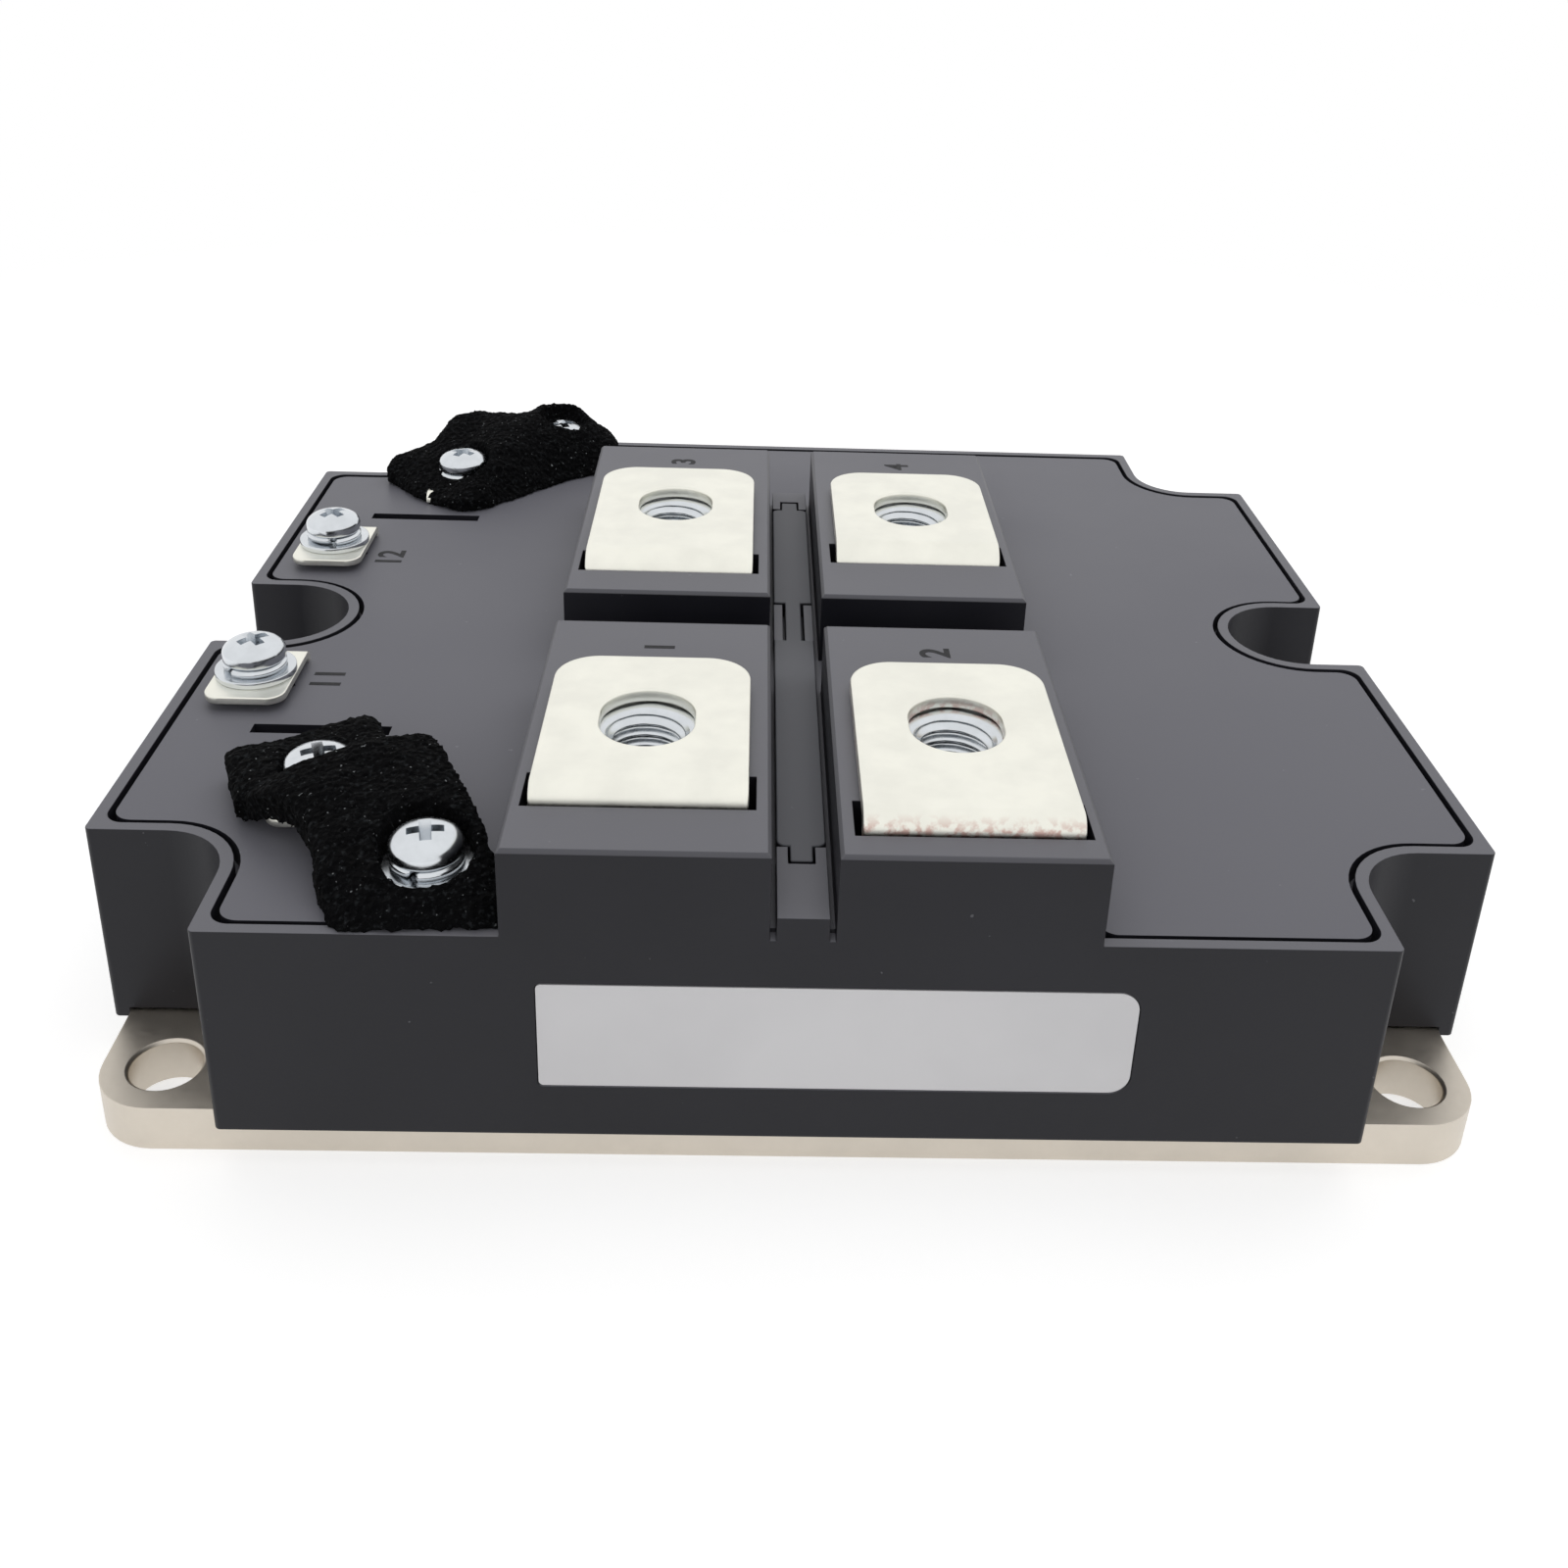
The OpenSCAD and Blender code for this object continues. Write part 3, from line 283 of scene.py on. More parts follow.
labelLook = {
    "body": paint(238, 237, 239), "roughness": 0.5, "cloudSize": 0.02,
    "dark": paint(232, 231, 233), "pale": paint(240, 239, 241),
    "grainSize": 0.0009, "grainDepth": 0.00002, "grainStrength": 0.25,
}


def labelFinish(look):
    finish = Finish("labelFilm", look["body"], look["roughness"])
    cloudy = finish.clouds(look["cloudSize"], 3)
    finish.paintWith(finish.blend(finish.between(cloudy, 0.35, 0.65), look["dark"], look["pale"]))
    finish.raiseWith(finish.clouds(look["grainSize"], 2), look["grainDepth"], look["grainStrength"])
    return finish.material


finishes = {
    # each plastic's first colour is painted shade for its walls, its second is painted light for its upward
    # faces
    "housing": mouldedPlastic("housingPlastic", paint(22, 22, 28), paint(106, 106, 112), 0.45),
    "lid": mouldedPlastic("lidPlastic", paint(22, 22, 28), paint(102, 102, 109), 0.46),
    "bar": mouldedPlastic("barPlastic", paint(24, 24, 29), paint(96, 97, 102), 0.5),
    "nickel": platedMetal("nickelPlate", paint(212, 204, 192), 0.42, 0.006),
    "tin": platedMetal("tinPlate", paint(240, 239, 229), 0.36, 0.004, (1, 8, 1)),
    "wornTin": platedMetal("wornTinPlate", paint(240, 239, 229), 0.36, 0.004, (1, 8, 1), stain={
        "top": 0.0378, "full": 0.0366, "size": 0.0009, "color": paint(206, 176, 166)}),
    "zinc": platedMetal("zincPlate", paint(214, 218, 222), 0.2, 0.002),
    "label": labelFinish(labelLook),
    "foam": foamFinish(foamLook),
    # the digits' dark colour is painted shade, standing in for the shade inside sunk moulded digits
    "marks": plainSolid("sunkDigitsPaintedShade", paint(20, 20, 23), 0.7, 0.0, 0.0005),
    "adhesive": plainSolid("blackAdhesive", paint(22, 22, 24), 0.6),
    "ceramic": plainSolid("firedCeramic", paint(232, 228, 218), 0.35),
    "solder": plainSolid("dullSolder", paint(160, 162, 166), 0.4, 1.0),
    "copper": plainSolid("bareCopper", paint(200, 130, 95), 0.35, 1.0),
    "silicon": plainSolid("chipMetal", paint(120, 128, 142), 0.25, 0.8, 0.004),
    "wire": plainSolid("wireAluminium", paint(215, 215, 218), 0.3, 1.0, 0.0004),
    "gel": plainSolid("siliconeGel", paint(214, 220, 222), 0.2),
    "board": plainSolid("boardLaminate", paint(38, 92, 58), 0.4),
    "pins": plainSolid("pinPlate", paint(212, 180, 110), 0.3, 1.0, 0.0005),
}

nodeFinishes = {
    "baseplate": "nickel", "case_frame": "housing", "case_adhesive": "adhesive", "lid": "lid",
    "centre_bar": "bar", "label_plate": "label", "signal_screws": "zinc", "spring_washers": "zinc",
    "flat_washers": "zinc", "signal_nuts": "zinc", "foam_strip_front": "foam", "foam_strip_rear": "foam",
    "solder_layers": "solder", "copper_backings": "copper", "copper_circuits": "copper",
    "igbt_chips": "silicon", "diode_chips": "silicon", "bond_wires": "wire", "silicone_gel": "gel",
    "gate_board": "board", "gate_pins": "pins",
}
nodeFinishes |= {f"main_terminal_{n}": "wornTin" if n == 2 else "tin" for n in range(1, 5)}
nodeFinishes |= {f"signal_terminal_{n}": "tin" for n in range(1, 7)}
nodeFinishes |= {f"terminal_nut_{n}": "zinc" for n in range(1, 5)}
nodeFinishes |= {f"ceramic_tile_{n}": "ceramic" for n in range(1, 5)}

for name, node in nodes.items():
    node.data.materials.clear()
    node.data.materials.append(finishes[nodeFinishes[name]])
print("finishes set on", len(nodes), "parts")


# width of the softened edges on the moulded and stamped parts, mm
edges = {
    "case_frame": 0.25, "lid": 0.15, "centre_bar": 0.2, "baseplate": 0.3,
    "main_terminal": 0.25, "signal_terminal": 0.15, "flat_washers": 0.1,
}


softening = {"weldReach": 0.000005, "flatDegrees": 0.5, "sharpDegrees": 40, "segments": 2}


def softenEdges(node, width):
    weld = node.modifiers.new("weld", "WELD")
    weld.merge_threshold = softening["weldReach"]
    flatten = node.modifiers.new("flatten", "DECIMATE")
    flatten.decimate_type = "DISSOLVE"
    flatten.angle_limit = math.radians(softening["flatDegrees"])
    bevel = node.modifiers.new("bevel", "BEVEL")
    bevel.width = width * mm
    bevel.segments = softening["segments"]
    bevel.limit_method = "ANGLE"
    bevel.angle_limit = math.radians(softening["sharpDegrees"])
    bevel.harden_normals = False
    shade = node.modifiers.new("shade", "WEIGHTED_NORMAL")
    shade.keep_sharp = False


for name, node in nodes.items():
    stem = name.rstrip("0123456789").rstrip("_")
    if stem in edges:
        softenEdges(node, edges[stem])
print("edges softened")


def makePiece(name, mesh, finish):
    piece = bpy.data.objects.new(name, mesh)
    bpy.context.scene.collection.objects.link(piece)
    mesh.materials.clear()
    mesh.materials.append(finishes[finish])
    return piece


def ridePiece(piece, slot, *replaced):
    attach(piece, "root")
    if replaced:
        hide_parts(*replaced)


def meshFrom(name, points, faces, smooth=True):
    mesh = bpy.data.meshes.new(name)
    mesh.from_pydata([tuple(p) for p in points], [], faces)
    mesh.validate()
    mesh.polygons.foreach_set("use_smooth", [smooth] * len(mesh.polygons))
    return mesh


def turnedMesh(name, rings, columns, closed=False):
    # rings of points round z, from the bottom up; closed joins the last ring to the first
    points = [p for ring in rings for p in ring]
    faces = []
    count = len(rings)
    for row in range(count if closed else count - 1):
        for column in range(columns):
            beside = (column + 1) % columns
            above = (row + 1) % count
            faces.append((row * columns + column, row * columns + beside,
                          above * columns + beside, above * columns + column))
    return meshFrom(name, points, faces)


# terminal nuts with real threads, mm
nutShape = {
    "acrossFlats": 13.0, "height": topOf("terminal_nut_1") / mm - nutBottom / mm,
    "rootRadius": 4.0, "crestRadius": 3.35, "pitch": 1.25, "mouthRadius": 4.25,
    "corner": 0.5, "faceShare": 0.97,  # height of the turned corners, and the faces' share of the flats
    "crestShare": 0.12, "slopeShare": 0.76,  # of half a turn of the thread
    "columns": 96, "rowsPerTurn": 12,
}


def nutMesh(shape):
    columns = shape["columns"]
    height = shape["height"]

    def hexRadius(angle):
        return shape["acrossFlats"] / 2 / math.cos((angle + math.pi / 6) % (math.pi / 3) - math.pi / 6)

    def threadRadius(angle, z):
        turn = (z / shape["pitch"] - angle / (2 * math.pi)) % 1
        slope = min(1.0, max(0.0, (abs(turn - 0.5) * 2 - shape["crestShare"]) / shape["slopeShare"]))
        radius = shape["rootRadius"] + (shape["crestRadius"] - shape["rootRadius"]) * slope
        mouth = shape["mouthRadius"] - min(z, height - z)
        return max(radius, mouth)

    angles = [2 * math.pi * column / columns for column in range(columns)]
    rings = []
    flat, whole = shape["acrossFlats"] / 2 * shape["faceShare"], shape["acrossFlats"]
    outside = [(0.0, flat), (shape["corner"], whole), (height - shape["corner"], whole), (height, flat)]
    for z, limit in outside:
        rings.append([(min(hexRadius(a), limit) * math.cos(a), min(hexRadius(a), limit) * math.sin(a), z)
                      for a in angles])
    rows = int(height / shape["pitch"] * shape["rowsPerTurn"])
    for row in range(rows + 1):
        z = height * (1 - row / rows)
        rings.append([(threadRadius(a, z) * math.cos(a), threadRadius(a, z) * math.sin(a), z)
                      for a in angles])
    mesh = turnedMesh("terminalNut", rings, columns, closed=True)
    mesh.transform(Matrix.Scale(mm, 4))
    return mesh


def treeWith(name, inputs):
    tree = bpy.data.node_groups.new(name, "GeometryNodeTree")
    tree.interface.new_socket("Geometry", in_out="INPUT", socket_type="NodeSocketGeometry")
    for label, kind in inputs:
        tree.interface.new_socket(label, in_out="INPUT", socket_type=kind)
    tree.interface.new_socket("Geometry", in_out="OUTPUT", socket_type="NodeSocketGeometry")
    return tree, tree.nodes.new("NodeGroupInput"), tree.nodes.new("NodeGroupOutput")


def bakeTree(holder, tree, values, name, finish):
    modifier = holder.modifiers.new(name, "NODES")
    modifier.node_group = tree
    for item in tree.interface.items_tree:
        if item.in_out == "INPUT" and item.name in values:
            modifier[item.identifier] = values[item.name]
    depsgraph = bpy.context.evaluated_depsgraph_get()
    baked = bpy.data.meshes.new_from_object(holder.evaluated_get(depsgraph))
    bpy.data.objects.remove(holder)
    baked.name = name
    return makePiece(name, baked, finish)


def setAtPlaces(name, shape, places, z, finish, turns=None):
    # one shape at many places; the tree turns each copy by its point's own turn
    tree, source, result = treeWith(name + "Tree", [
        ("Shape", "NodeSocketObject"), ("Finish", "NodeSocketMaterial")])
    add, join = tree.nodes.new, tree.links.new
    info = add("GeometryNodeObjectInfo")
    turn = add("GeometryNodeInputNamedAttribute")
    turn.data_type = "FLOAT"
    turn.inputs["Name"].default_value = "turn"
    axes = add("ShaderNodeCombineXYZ")
    copies = add("GeometryNodeInstanceOnPoints")
    real = add("GeometryNodeRealizeInstances")
    coat = add("GeometryNodeSetMaterial")
    join(source.outputs["Geometry"], copies.inputs["Points"])
    join(source.outputs["Shape"], info.inputs["Object"])
    join(info.outputs["Geometry"], copies.inputs["Instance"])
    join(turn.outputs["Attribute"], axes.inputs["Z"])
    join(axes.outputs["Vector"], copies.inputs["Rotation"])
    join(copies.outputs["Instances"], real.inputs["Geometry"])
    join(real.outputs["Geometry"], coat.inputs["Geometry"])
    join(source.outputs["Finish"], coat.inputs["Material"])
    join(coat.outputs["Geometry"], result.inputs["Geometry"])

    points = bpy.data.meshes.new(name + "Places")
    points.from_pydata([(place[0], place[1], z) for place in places], [], [])
    attribute = points.attributes.new("turn", "FLOAT", "POINT")
    attribute.data.foreach_set("value", turns or [0.0] * len(places))
    holder = bpy.data.objects.new(name + "Holder", points)
    pattern = bpy.data.objects.new(name + "Pattern", shape)
    for thing in (holder, pattern):
        bpy.context.scene.collection.objects.link(thing)
    piece = bakeTree(holder, tree, {"Shape": pattern, "Finish": finishes[finish]}, name, finish)
    bpy.data.objects.remove(pattern)
    return piece


nuts = setAtPlaces("terminalNuts", nutMesh(nutShape), nutPlaces, nutBottom, "zinc")
ridePiece(nuts, "zinc", *[f"terminal_nut_{n}" for n in range(1, 5)])
print("terminal nuts threaded")


# signal screws: one turned head with a cross recess, mm
screwShape = {
    "headRadius": 3.5, "headHeight": (headTop - springTop) / mm, "sideHeight": 1.0, "shankRadius": 1.95,
    "shankLength": (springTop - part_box("signal_screws")[0][2]) / mm, "tipShare": 0.7, "tipLength": 0.6,
    "axisRadius": 0.01, "recessReach": 1.9, "recessWidth": 1.15, "recessDepth": 1.9,
    "floorReach": 0.55, "floorFlare": 0.75, "mouthReach": 1.15, "mouthFlare": 1.1,  # shares of the recess
    "domeSteps": 10, "domeRound": 0.75, "domeRise": 1.1, "softWidth": 0.12, "softDegrees": 35, "columns": 64,
    "turns": [0.4, 1.1, 0.9, 0.75, 0.35, 0.2],  # how far each was driven, radians
}


def screwMesh(shape):
    columns = shape["columns"]
    top, side, radius = shape["headHeight"], shape["sideHeight"], shape["headRadius"]
    shank, tip, axis = shape["shankRadius"], -shape["shankLength"], shape["axisRadius"]
    profile = [(axis, tip), (shank * shape["tipShare"], tip), (shank, tip + shape["tipLength"]), (shank, 0.0),
               (radius - 0.25, 0.0), (radius - 0.05, 0.12), (radius, 0.35), (radius, side)]
    for step in range(1, shape["domeSteps"] + 1):
        turn = step / shape["domeSteps"] * math.pi / 2
        profile.append((radius * math.cos(turn) ** shape["domeRound"] + axis,
                        side + (top - side) * math.sin(turn) ** shape["domeRise"]))
    rings = [[(r * math.cos(2 * math.pi * c / columns), r * math.sin(2 * math.pi * c / columns), z)
              for c in range(columns)] for r, z in profile]
    head = bpy.data.objects.new("screwHead", turnedMesh("screwHead", rings, columns))
    cap = bmesh.new()
    cap.from_mesh(head.data)
    bmesh.ops.holes_fill(cap, edges=cap.edges)
    bmesh.ops.recalc_face_normals(cap, faces=cap.faces)
    cap.to_mesh(head.data)
    cap.free()

    # the recess narrows towards its floor
    reach, half, depth = shape["recessReach"], shape["recessWidth"] / 2, shape["recessDepth"]
    cutter = bmesh.new()
    ends = ((top - depth, shape["floorReach"], shape["floorFlare"]),
            (top + 1, shape["mouthReach"], shape["mouthFlare"]))
    for turn in (0, math.pi / 2):
        corners = []
        for z, share, flare in ends:
            for x, y in ((-1, -1), (1, -1), (1, 1), (-1, 1)):
                corner = Vector((x * reach * share, y * half * flare, z))
                corners.append(Matrix.Rotation(turn, 3, "Z") @ corner)
        made = [cutter.verts.new(c) for c in corners]
        for quad in ((3, 2, 1, 0), (4, 5, 6, 7), (0, 1, 5, 4), (1, 2, 6, 5), (2, 3, 7, 6), (3, 0, 4, 7)):
            cutter.faces.new([made[i] for i in quad])
    cutterMesh = bpy.data.meshes.new("recess")
    cutter.to_mesh(cutterMesh)
    cutter.free()
    recess = bpy.data.objects.new("recess", cutterMesh)
    for thing in (head, recess):
        bpy.context.scene.collection.objects.link(thing)
    cut = head.modifiers.new("cut", "BOOLEAN")
    cut.object = recess
    cut.operation = "DIFFERENCE"
    cut.use_self = True
    soften = head.modifiers.new("soften", "BEVEL")
    soften.width = shape["softWidth"]
    soften.segments = 2
    soften.angle_limit = math.radians(shape["softDegrees"])
    depsgraph = bpy.context.evaluated_depsgraph_get()
    mesh = bpy.data.meshes.new_from_object(head.evaluated_get(depsgraph))
    mesh.transform(Matrix.Scale(mm, 4))
    for thing in (head, recess):
        bpy.data.objects.remove(thing)
    return mesh


screws = setAtPlaces("signalScrews", screwMesh(screwShape), signalPlaces, springTop, "zinc",
                     screwShape["turns"])
ridePiece(screws, "zinc", "signal_screws")
print("signal screws made")


# spring washers: one turn of square wire that rises over its split, mm
springShape = {
    "innerRadius": 2.15, "outerRadius": 3.5, "thickness": 0.85, "rise": 0.32, "sweep": 348, "steps": 60,
    "softWidth": 0.15, "sharpAngle": 0.9, "lift": 0.08,  # lift keeps the low end off the flat washer
    "turns": [4.4, 3.6, 5.0, 4.1, 3.3, 4.6],  # where each split points, radians
}


def springMesh(shape):
    inner, outer, top = shape["innerRadius"], shape["outerRadius"], shape["thickness"]
    corners = [(inner, 0), (outer, 0), (outer, top), (inner, top)]
    points = []
    for step in range(shape["steps"] + 1):
        share = step / shape["steps"]
        angle = math.radians(shape["sweep"] * share)
        lift = shape["rise"] * (share - 0.5)
        points += [(r * math.cos(angle), r * math.sin(angle), z + lift) for r, z in corners]
    faces = [(3, 2, 1, 0), tuple(4 * shape["steps"] + i for i in range(4))]
    for step in range(shape["steps"]):
        base = 4 * step
        faces += [(base + i, base + (i + 1) % 4, base + 4 + (i + 1) % 4, base + 4 + i) for i in range(4)]
    mesh = meshFrom("springWasher", points, faces, smooth=False)
    rounder = bmesh.new()
    rounder.from_mesh(mesh)
    bmesh.ops.recalc_face_normals(rounder, faces=rounder.faces)
    sharp = [e for e in rounder.edges if e.calc_face_angle(0) > shape["sharpAngle"]]
    bmesh.ops.bevel(rounder, geom=sharp, offset=shape["softWidth"], segments=2, affect="EDGES")
    for face in rounder.faces:
        face.smooth = True
    rounder.to_mesh(mesh)
    rounder.free()
    mesh.transform(Matrix.Scale(mm, 4))
    return mesh


springs = setAtPlaces("springWashers", springMesh(springShape), signalPlaces,
                      washerTop + springShape["lift"] * mm, "zinc", springShape["turns"])
ridePiece(springs, "zinc", "spring_washers")
print("spring washers made")


# foam strips, mm
foamShape = {
    "cell": 0.34, "roughness": 0.17, "across": 44, "stepsPerSection": 8,
    "overLid": 0.1, "skinOverLid": 0.45, "pitSlope": 1.0,
    "swells": [(0.35, 1.6), (1.1, 1.0), (2.6, 1.3)],  # waves per mm, and their share of the roughness
}

# each section: left edge x, y, right edge x, y, then height at left, middle and right
frontFlat = [
    (-59.0, -39.2, -55.4, -48.0, 30.3, 30.6, 30.2), (-57.2, -38.6, -53.2, -47.4, 30.9, 31.3, 31.0),
    (-55.0, -38.0, -50.8, -46.6, 31.1, 31.4, 31.6), (-52.3, -36.7, -47.8, -45.4, 31.1, 31.3, 32.0),
    (-49.0, -34.3, -44.6, -43.0, 31.3, 31.4, 32.0), (-46.4, -32.2, -42.6, -41.0, 31.2, 31.5, 31.8),
    (-45.0, -31.6, -41.6, -39.4, 30.4, 30.8, 30.8),
]
frontFold = [
    (-55.2, -47.0, -38.6, -39.2, 30.2, 32.0, 31.2), (-53.4, -48.8, -37.7, -40.4, 31.6, 34.0, 33.6),
    (-50.6, -50.6, -36.2, -42.4, 32.8, 34.1, 33.9), (-47.6, -53.0, -34.2, -46.0, 32.7, 33.5, 33.6),
    (-45.7, -56.6, -31.8, -50.6, 31.6, 32.6, 32.8), (-44.5, -60.0, -29.6, -55.0, 30.4, 31.3, 31.4),
    (-43.4, -62.4, -28.0, -59.4, 29.0, 29.9, 29.9), (-42.6, -63.9, -27.6, -62.2, 27.9, 28.9, 28.9),
    (-41.2, -64.9, -27.5, -64.0, 27.3, 27.6, 27.6),
]
# the rear strip runs from its tail at the left to the block, front edge first
rearHump = [
    (-60.0, 44.6, -59.0, 49.6, 29.2, 30.0, 29.6), (-57.6, 42.6, -57.2, 49.8, 28.0, 30.6, 30.4),
    (-54.6, 38.6, -54.2, 51.8, 28.2, 30.8, 31.4), (-51.8, 36.6, -51.8, 54.8, 28.2, 31.4, 34.2),
    (-48.4, 34.4, -48.6, 56.8, 28.8, 31.6, 34.9), (-44.8, 34.6, -44.6, 57.6, 28.6, 33.4, 34.3),
    (-41.2, 38.2, -41.0, 58.2, 27.1, 34.0, 34.1), (-37.6, 42.2, -37.6, 60.6, 27.1, 34.0, 34.8),
    (-34.4, 46.2, -34.0, 61.0, 27.1, 33.8, 34.8), (-31.2, 49.0, -30.6, 60.4, 27.1, 32.4, 32.6),
    (-28.4, 50.4, -27.6, 58.2, 27.3, 31.0, 31.0), (-26.8, 51.4, -26.6, 56.2, 28.0, 30.2, 30.2),
]


def smoothStep(low, high, value):
    share = min(1.0, max(0.0, (value - low) / (high - low)))
    return share * share * (3 - 2 * share)


def alongSections(sections, share):
    # a smooth curve through the sections, at a share of the strip's length
    last = len(sections) - 1
    place = share * last
    index = min(int(place), last - 1)
    t = place - index
    around = [sections[min(max(index + step, 0), last)] for step in (-1, 0, 1, 2)]
    values = []
    for p0, p1, p2, p3 in zip(*around):
        values.append(0.5 * (2 * p1 + (p2 - p0) * t + (2 * p0 - 5 * p1 + 4 * p2 - p3) * t * t
                             + (3 * p1 - p0 - 3 * p2 + p3) * t ** 3))
    return values


def pressed(x, y, z, pits):
    # the screws press a round pit with a steep wall
    farAbove = 99
    for pit in pits:
        away = math.hypot(x - pit["at"][0] / mm, y - pit["at"][1] / mm)
        slope = smoothStep(pit["radius"], pit["radius"] + foamShape["pitSlope"], away) ** 3
        z = min(z, pit["floor"] + (farAbove - pit["floor"]) * slope)
    return z


def ribbonMesh(sections, thickness, pits, crown):
    rows = (len(sections) - 1) * foamShape["stepsPerSection"]
    columns = foamShape["across"]
    lid = lidTop / mm
    points, faces = [], []
    for layer in (0, 1):
        for row in range(rows + 1):
            x0, y0, x1, y1, z0, zMid, z1 = alongSections(sections, row / rows)
            for column in range(columns + 1):
                c = column / columns
                x, y = x0 + (x1 - x0) * c, y0 + (y1 - y0) * c
                z = z0 * (1 - c) * (1 - 2 * c) + zMid * 4 * c * (1 - c) + z1 * c * (2 * c - 1)
                z -= crown * (abs(2 * c - 1) ** 6)
                z = pressed(x, y, z, pits)
                lowest = lid + (foamShape["overLid"] if layer else foamShape["skinOverLid"])
                points.append(Vector((x, y, max(z - thickness if layer else z, lowest))))
    width = columns + 1
    size = width * (rows + 1)
    for row in range(rows):
        for column in range(columns):
            a = row * width + column
            faces.append((a, a + 1, a + 1 + width, a + width))
            b = a + size
            faces.append((b, b + width, b + 1 + width, b + 1))
    rim = [(0, c) for c in range(columns)] + [(r, columns) for r in range(rows)]
    rim += [(rows, c) for c in range(columns, 0, -1)] + [(r, 0) for r in range(rows, 0, -1)]
    loop = [r * width + c for r, c in rim]
    for index, a in enumerate(loop):
        b = loop[(index + 1) % len(loop)]
        faces.append((b, a, a + size, b + size))
    return points, faces


def foamPiece(name, ribbons, node):
    points, faces = [], []
    for ribbon in ribbons:
        morePoints, moreFaces = ribbonMesh(**ribbon)
        faces += [tuple(i + len(points) for i in face) for face in moreFaces]
        points += morePoints
    mesh = meshFrom(name, points, faces)
    mesh.transform(Matrix.Scale(mm, 4))
    work = bmesh.new()
    work.from_mesh(mesh)
    bmesh.ops.recalc_face_normals(work, faces=work.faces)
    work.to_mesh(mesh)
    work.free()
    piece = makePiece(name, mesh, "foam")
    join = piece.modifiers.new("join", "REMESH")
    join.mode = "VOXEL"
    join.voxel_size = foamShape["cell"] * mm
    depsgraph = bpy.context.evaluated_depsgraph_get()
    joined = bpy.data.meshes.new_from_object(piece.evaluated_get(depsgraph))
    piece.modifiers.clear()
    rough = foamShape["roughness"] * mm
    normals = [v.normal.copy() for v in joined.vertices]
    for vertex, normal in zip(joined.vertices, normals):
        place = vertex.co / mm
        swell = sum(noise.noise(place * waves) * share for waves, share in foamShape["swells"])
        vertex.co += normal * swell * rough
    joined.polygons.foreach_set("use_smooth", [True] * len(joined.polygons))
    piece.data = joined
    joined.materials.clear()
    joined.materials.append(finishes["foam"])
    ridePiece(piece, "foam", node)


foamPiece("foamStripFront", [
    {"sections": frontFlat, "thickness": 2.6, "crown": 0.3,
     "pits": [{"at": signalPlaces[4], "radius": 3.6, "floor": 30.3}]},
    {"sections": frontFold, "thickness": 3.2, "crown": 0.5,
     "pits": [{"at": signalPlaces[5], "radius": 4.2, "floor": 29.0}]},
], "foam_strip_front")
foamPiece("foamStripRear", [
    {"sections": rearHump, "thickness": 6.5, "crown": 0.2,
     "pits": [{"at": signalPlaces[1], "radius": 3.6, "floor": 30.4},
              {"at": signalPlaces[0], "radius": 3.3, "floor": 32.3}]},
], "foam_strip_rear")
print("foam strips shaped")


# plain digits by the terminals, thin sheets whose dark colour is painted shade of sunk digits, mm
digits = [
    {"text": "1", "at": (-15.0, -25.4), "z": blockTop, "height": 3.2},
    {"text": "2", "at": (15.2, -25.4), "z": blockTop, "height": 3.2},
    {"text": "3", "at": (-15.0, 32.4), "z": blockTop, "height": 3.2},
    {"text": "4", "at": (15.2, 32.4), "z": blockTop, "height": 3.2},
    {"text": "11", "at": (-53.8, -17.1), "z": lidTop, "height": 3.4},
    {"text": "12", "at": (-53.8, 17.6), "z": lidTop, "height": 3.4},
]

# stroke is added all round; turn is in degrees
digitShape = {"stroke": 0.11, "thickness": 0.015, "lift": 0.01, "capShare": 0.7, "turn": 90}


def digitPiece(index, digit):
    curve = bpy.data.curves.new(f"digit{index}", "FONT")
    curve.body = digit["text"]
    curve.size = digit["height"] / digitShape["capShare"] * mm
    curve.align_x = "CENTER"
    curve.align_y = "CENTER"
    curve.extrude = digitShape["thickness"] * mm
    curve.offset = digitShape["stroke"] * mm
    letter = bpy.data.objects.new(f"digit{index}", curve)
    bpy.context.scene.collection.objects.link(letter)
    depsgraph = bpy.context.evaluated_depsgraph_get()
    mesh = bpy.data.meshes.new_from_object(letter.evaluated_get(depsgraph))
    bpy.data.objects.remove(letter)
    x, y = digit["at"]
    mesh.transform(Matrix.Translation((x * mm, y * mm, digit["z"] + digitShape["lift"] * mm))
                   @ Matrix.Rotation(math.radians(digitShape["turn"]), 4, "Z"))
    piece = makePiece(f"digit{index}", mesh, "marks")
    ridePiece(piece, "housing")


for index, digit in enumerate(digits, 1):
    digitPiece(index, digit)
print("digits laid")


# floor, lights and camera, metres
stage = {
    "floorColor": (0.6, 0.6, 0.6, 1), "floorGlow": 0.62, "fadeStart": 0.11, "fadeEnd": 0.34,
    "floorSize": 6.0, "floorDrop": 0.02 * mm, "floorRoughness": 0.9, "skyToLight": 0.42,
}
lamps = [
    {"name": "overhead", "place": (0.12, 0.35, 1.1), "target": (0, 0, 0), "size": (1.5, 1.5), "power": 6.6},
    {"name": "sheen", "place": (0.12, 0.35, 1.1), "target": (0, 0, 0), "size": (1.5, 1.5), "power": 1.7,
     "inGloss": True},
    {"name": "frontSoft", "place": (-0.2, -1.5, 0.8), "target": (0, 0, 0.02), "size": (1.5, 0.8),
     "power": 6.0},
]


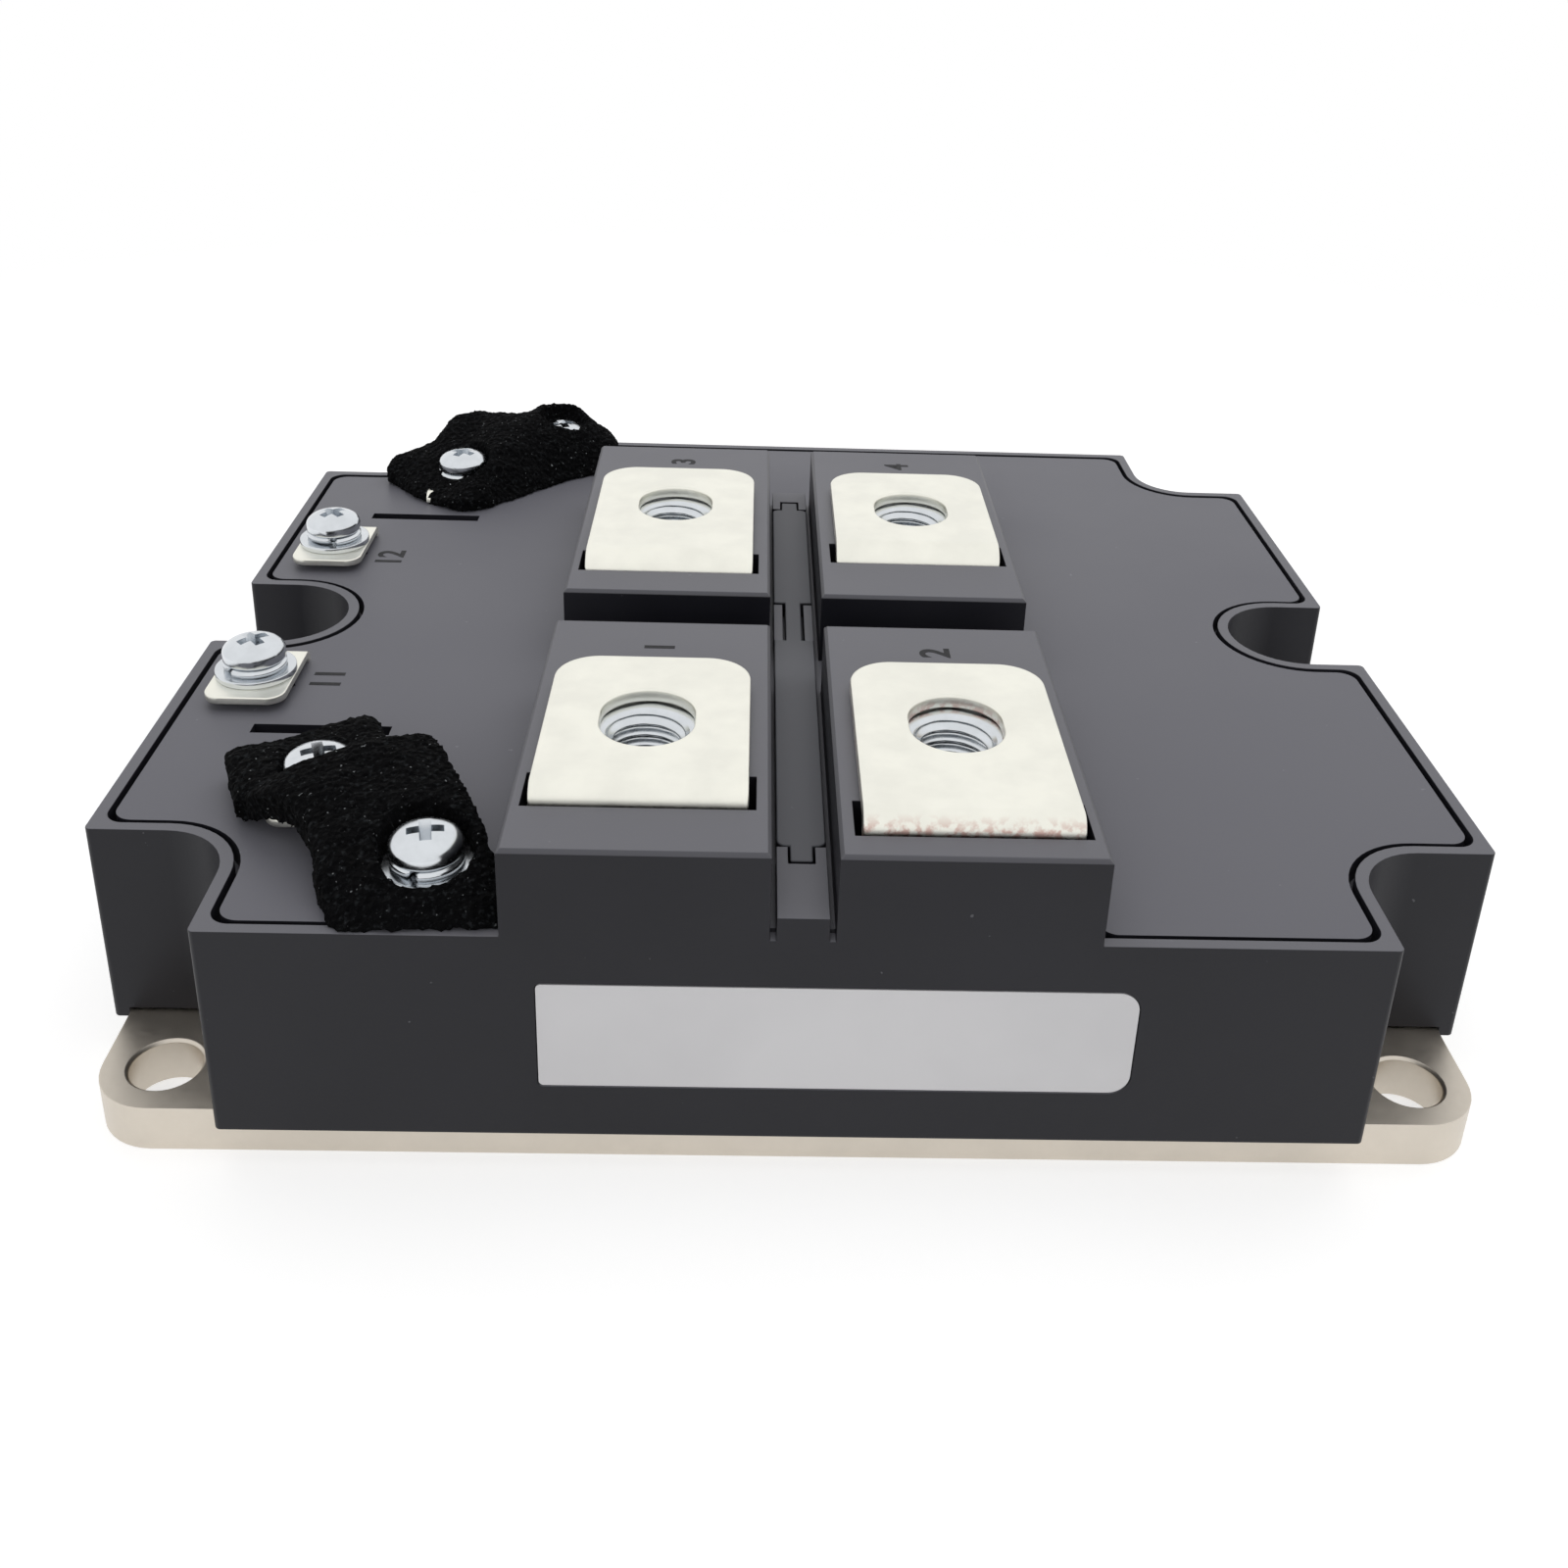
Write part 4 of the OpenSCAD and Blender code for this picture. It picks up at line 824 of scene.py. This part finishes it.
def buildFloor():
    # white paper that keeps the soft shadow near the part and fades to plain white further out
    size = stage["floorSize"]
    mesh = meshFrom("floor", [(-size, -size, 0), (size, -size, 0), (size, size, 0), (-size, size, 0)],
                    [(0, 1, 2, 3)], smooth=False)
    floor = bpy.data.objects.new("floor", mesh)
    bpy.context.scene.collection.objects.link(floor)
    floor.location.z = -stage["floorDrop"]
    paper = Finish("floorPaper", stage["floorColor"], stage["floorRoughness"])
    paper.shader.inputs["Specular IOR Level"].default_value = 0.0
    far = paper.add("ShaderNodeVectorMath", operation="LENGTH")
    paper.link(paper.place, far.inputs[0])
    fade = paper.between(far.outputs["Value"], stage["fadeStart"], stage["fadeEnd"])
    path = paper.add("ShaderNodeLightPath")
    seen = paper.join("ADD", path.outputs["Is Camera Ray"], path.outputs["Is Glossy Ray"])
    seen = paper.join("MINIMUM", paper.join("ADD", seen, path.outputs["Is Transmission Ray"]), 1.0)
    glow = paper.add("ShaderNodeEmission", Strength=stage["floorGlow"])
    plainWhite = paper.add("ShaderNodeEmission", Strength=1.0)
    nothing = paper.add("ShaderNodeEmission", Strength=0.0)
    shownGlow = paper.add("ShaderNodeMixShader")
    both = paper.add("ShaderNodeAddShader")
    whole = paper.add("ShaderNodeMixShader")
    paper.link(seen, shownGlow.inputs[0])
    paper.link(nothing.outputs[0], shownGlow.inputs[1])
    paper.link(glow.outputs[0], shownGlow.inputs[2])
    paper.link(paper.shader.outputs[0], both.inputs[0])
    paper.link(shownGlow.outputs[0], both.inputs[1])
    paper.link(paper.join("MULTIPLY", seen, fade), whole.inputs[0])
    paper.link(both.outputs[0], whole.inputs[1])
    paper.link(plainWhite.outputs[0], whole.inputs[2])
    paper.link(whole.outputs[0], paper.tree.nodes["Material Output"].inputs["Surface"])
    mesh.materials.append(paper.material)


def buildSky():
    world = bpy.data.worlds.new("studio")
    bpy.context.scene.world = world
    world.use_nodes = True
    tree = world.node_tree
    plain = tree.nodes["Background"]
    plain.inputs["Color"].default_value = (1, 1, 1, 1)
    plain.inputs["Strength"].default_value = stage["skyToLight"]
    seen = tree.nodes.new("ShaderNodeBackground")
    seen.inputs["Color"].default_value = (1, 1, 1, 1)
    seen.inputs["Strength"].default_value = 1.0
    path = tree.nodes.new("ShaderNodeLightPath")
    most = path.outputs["Is Camera Ray"]
    for ray in ("Is Glossy Ray", "Is Transmission Ray"):
        either = tree.nodes.new("ShaderNodeMath")
        either.operation = "MAXIMUM"
        tree.links.new(most, either.inputs[0])
        tree.links.new(path.outputs[ray], either.inputs[1])
        most = either.outputs[0]
    choose = tree.nodes.new("ShaderNodeMixShader")
    tree.links.new(most, choose.inputs[0])
    tree.links.new(plain.outputs[0], choose.inputs[1])
    tree.links.new(seen.outputs[0], choose.inputs[2])
    tree.links.new(choose.outputs[0], tree.nodes["World Output"].inputs["Surface"])


def areaLamp(name, place, target, size, power, inGloss=False):
    # inGloss: whether shiny surfaces mirror the lamp
    lamp = bpy.data.lights.new(name, "AREA")
    lamp.shape = "RECTANGLE"
    lamp.size, lamp.size_y = size
    lamp.energy = power
    holder = bpy.data.objects.new(name, lamp)
    bpy.context.scene.collection.objects.link(holder)
    holder.visible_glossy = inGloss
    holder.location = place
    holder.rotation_euler = (Vector(target) - Vector(place)).to_track_quat("-Z", "Y").to_euler()


camera = {  # place and lens in mm, angles in degrees
    "place": (-5.742, -186.548, 118.471), "lens": 37.816, "sensor": 36, "shift": (-0.00934, -0.1425),
    "down": 23.92, "turn": -1.924, "roll": 2.129, "nearest": 0.01,  # nearest in metres
}


def buildCamera():
    lens = bpy.data.cameras.new("camera")
    lens.lens = camera["lens"]
    lens.sensor_width = camera["sensor"]
    lens.shift_x, lens.shift_y = camera["shift"]
    lens.clip_start = camera["nearest"]
    holder = bpy.data.objects.new("camera", lens)
    bpy.context.scene.collection.objects.link(holder)
    aim = (Matrix.Rotation(math.radians(camera["turn"]), 4, "Z")
           @ Matrix.Rotation(math.radians(90 - camera["down"]), 4, "X")
           @ Matrix.Rotation(math.radians(camera["roll"]), 4, "Z"))
    holder.matrix_world = Matrix.Translation(Vector(camera["place"]) * mm) @ aim
    bpy.context.scene.camera = holder


buildFloor()
buildSky()
for lamp in lamps:
    areaLamp(**lamp)
buildCamera()
bpy.context.scene.view_settings.view_transform = "Standard"
print("stage lit")
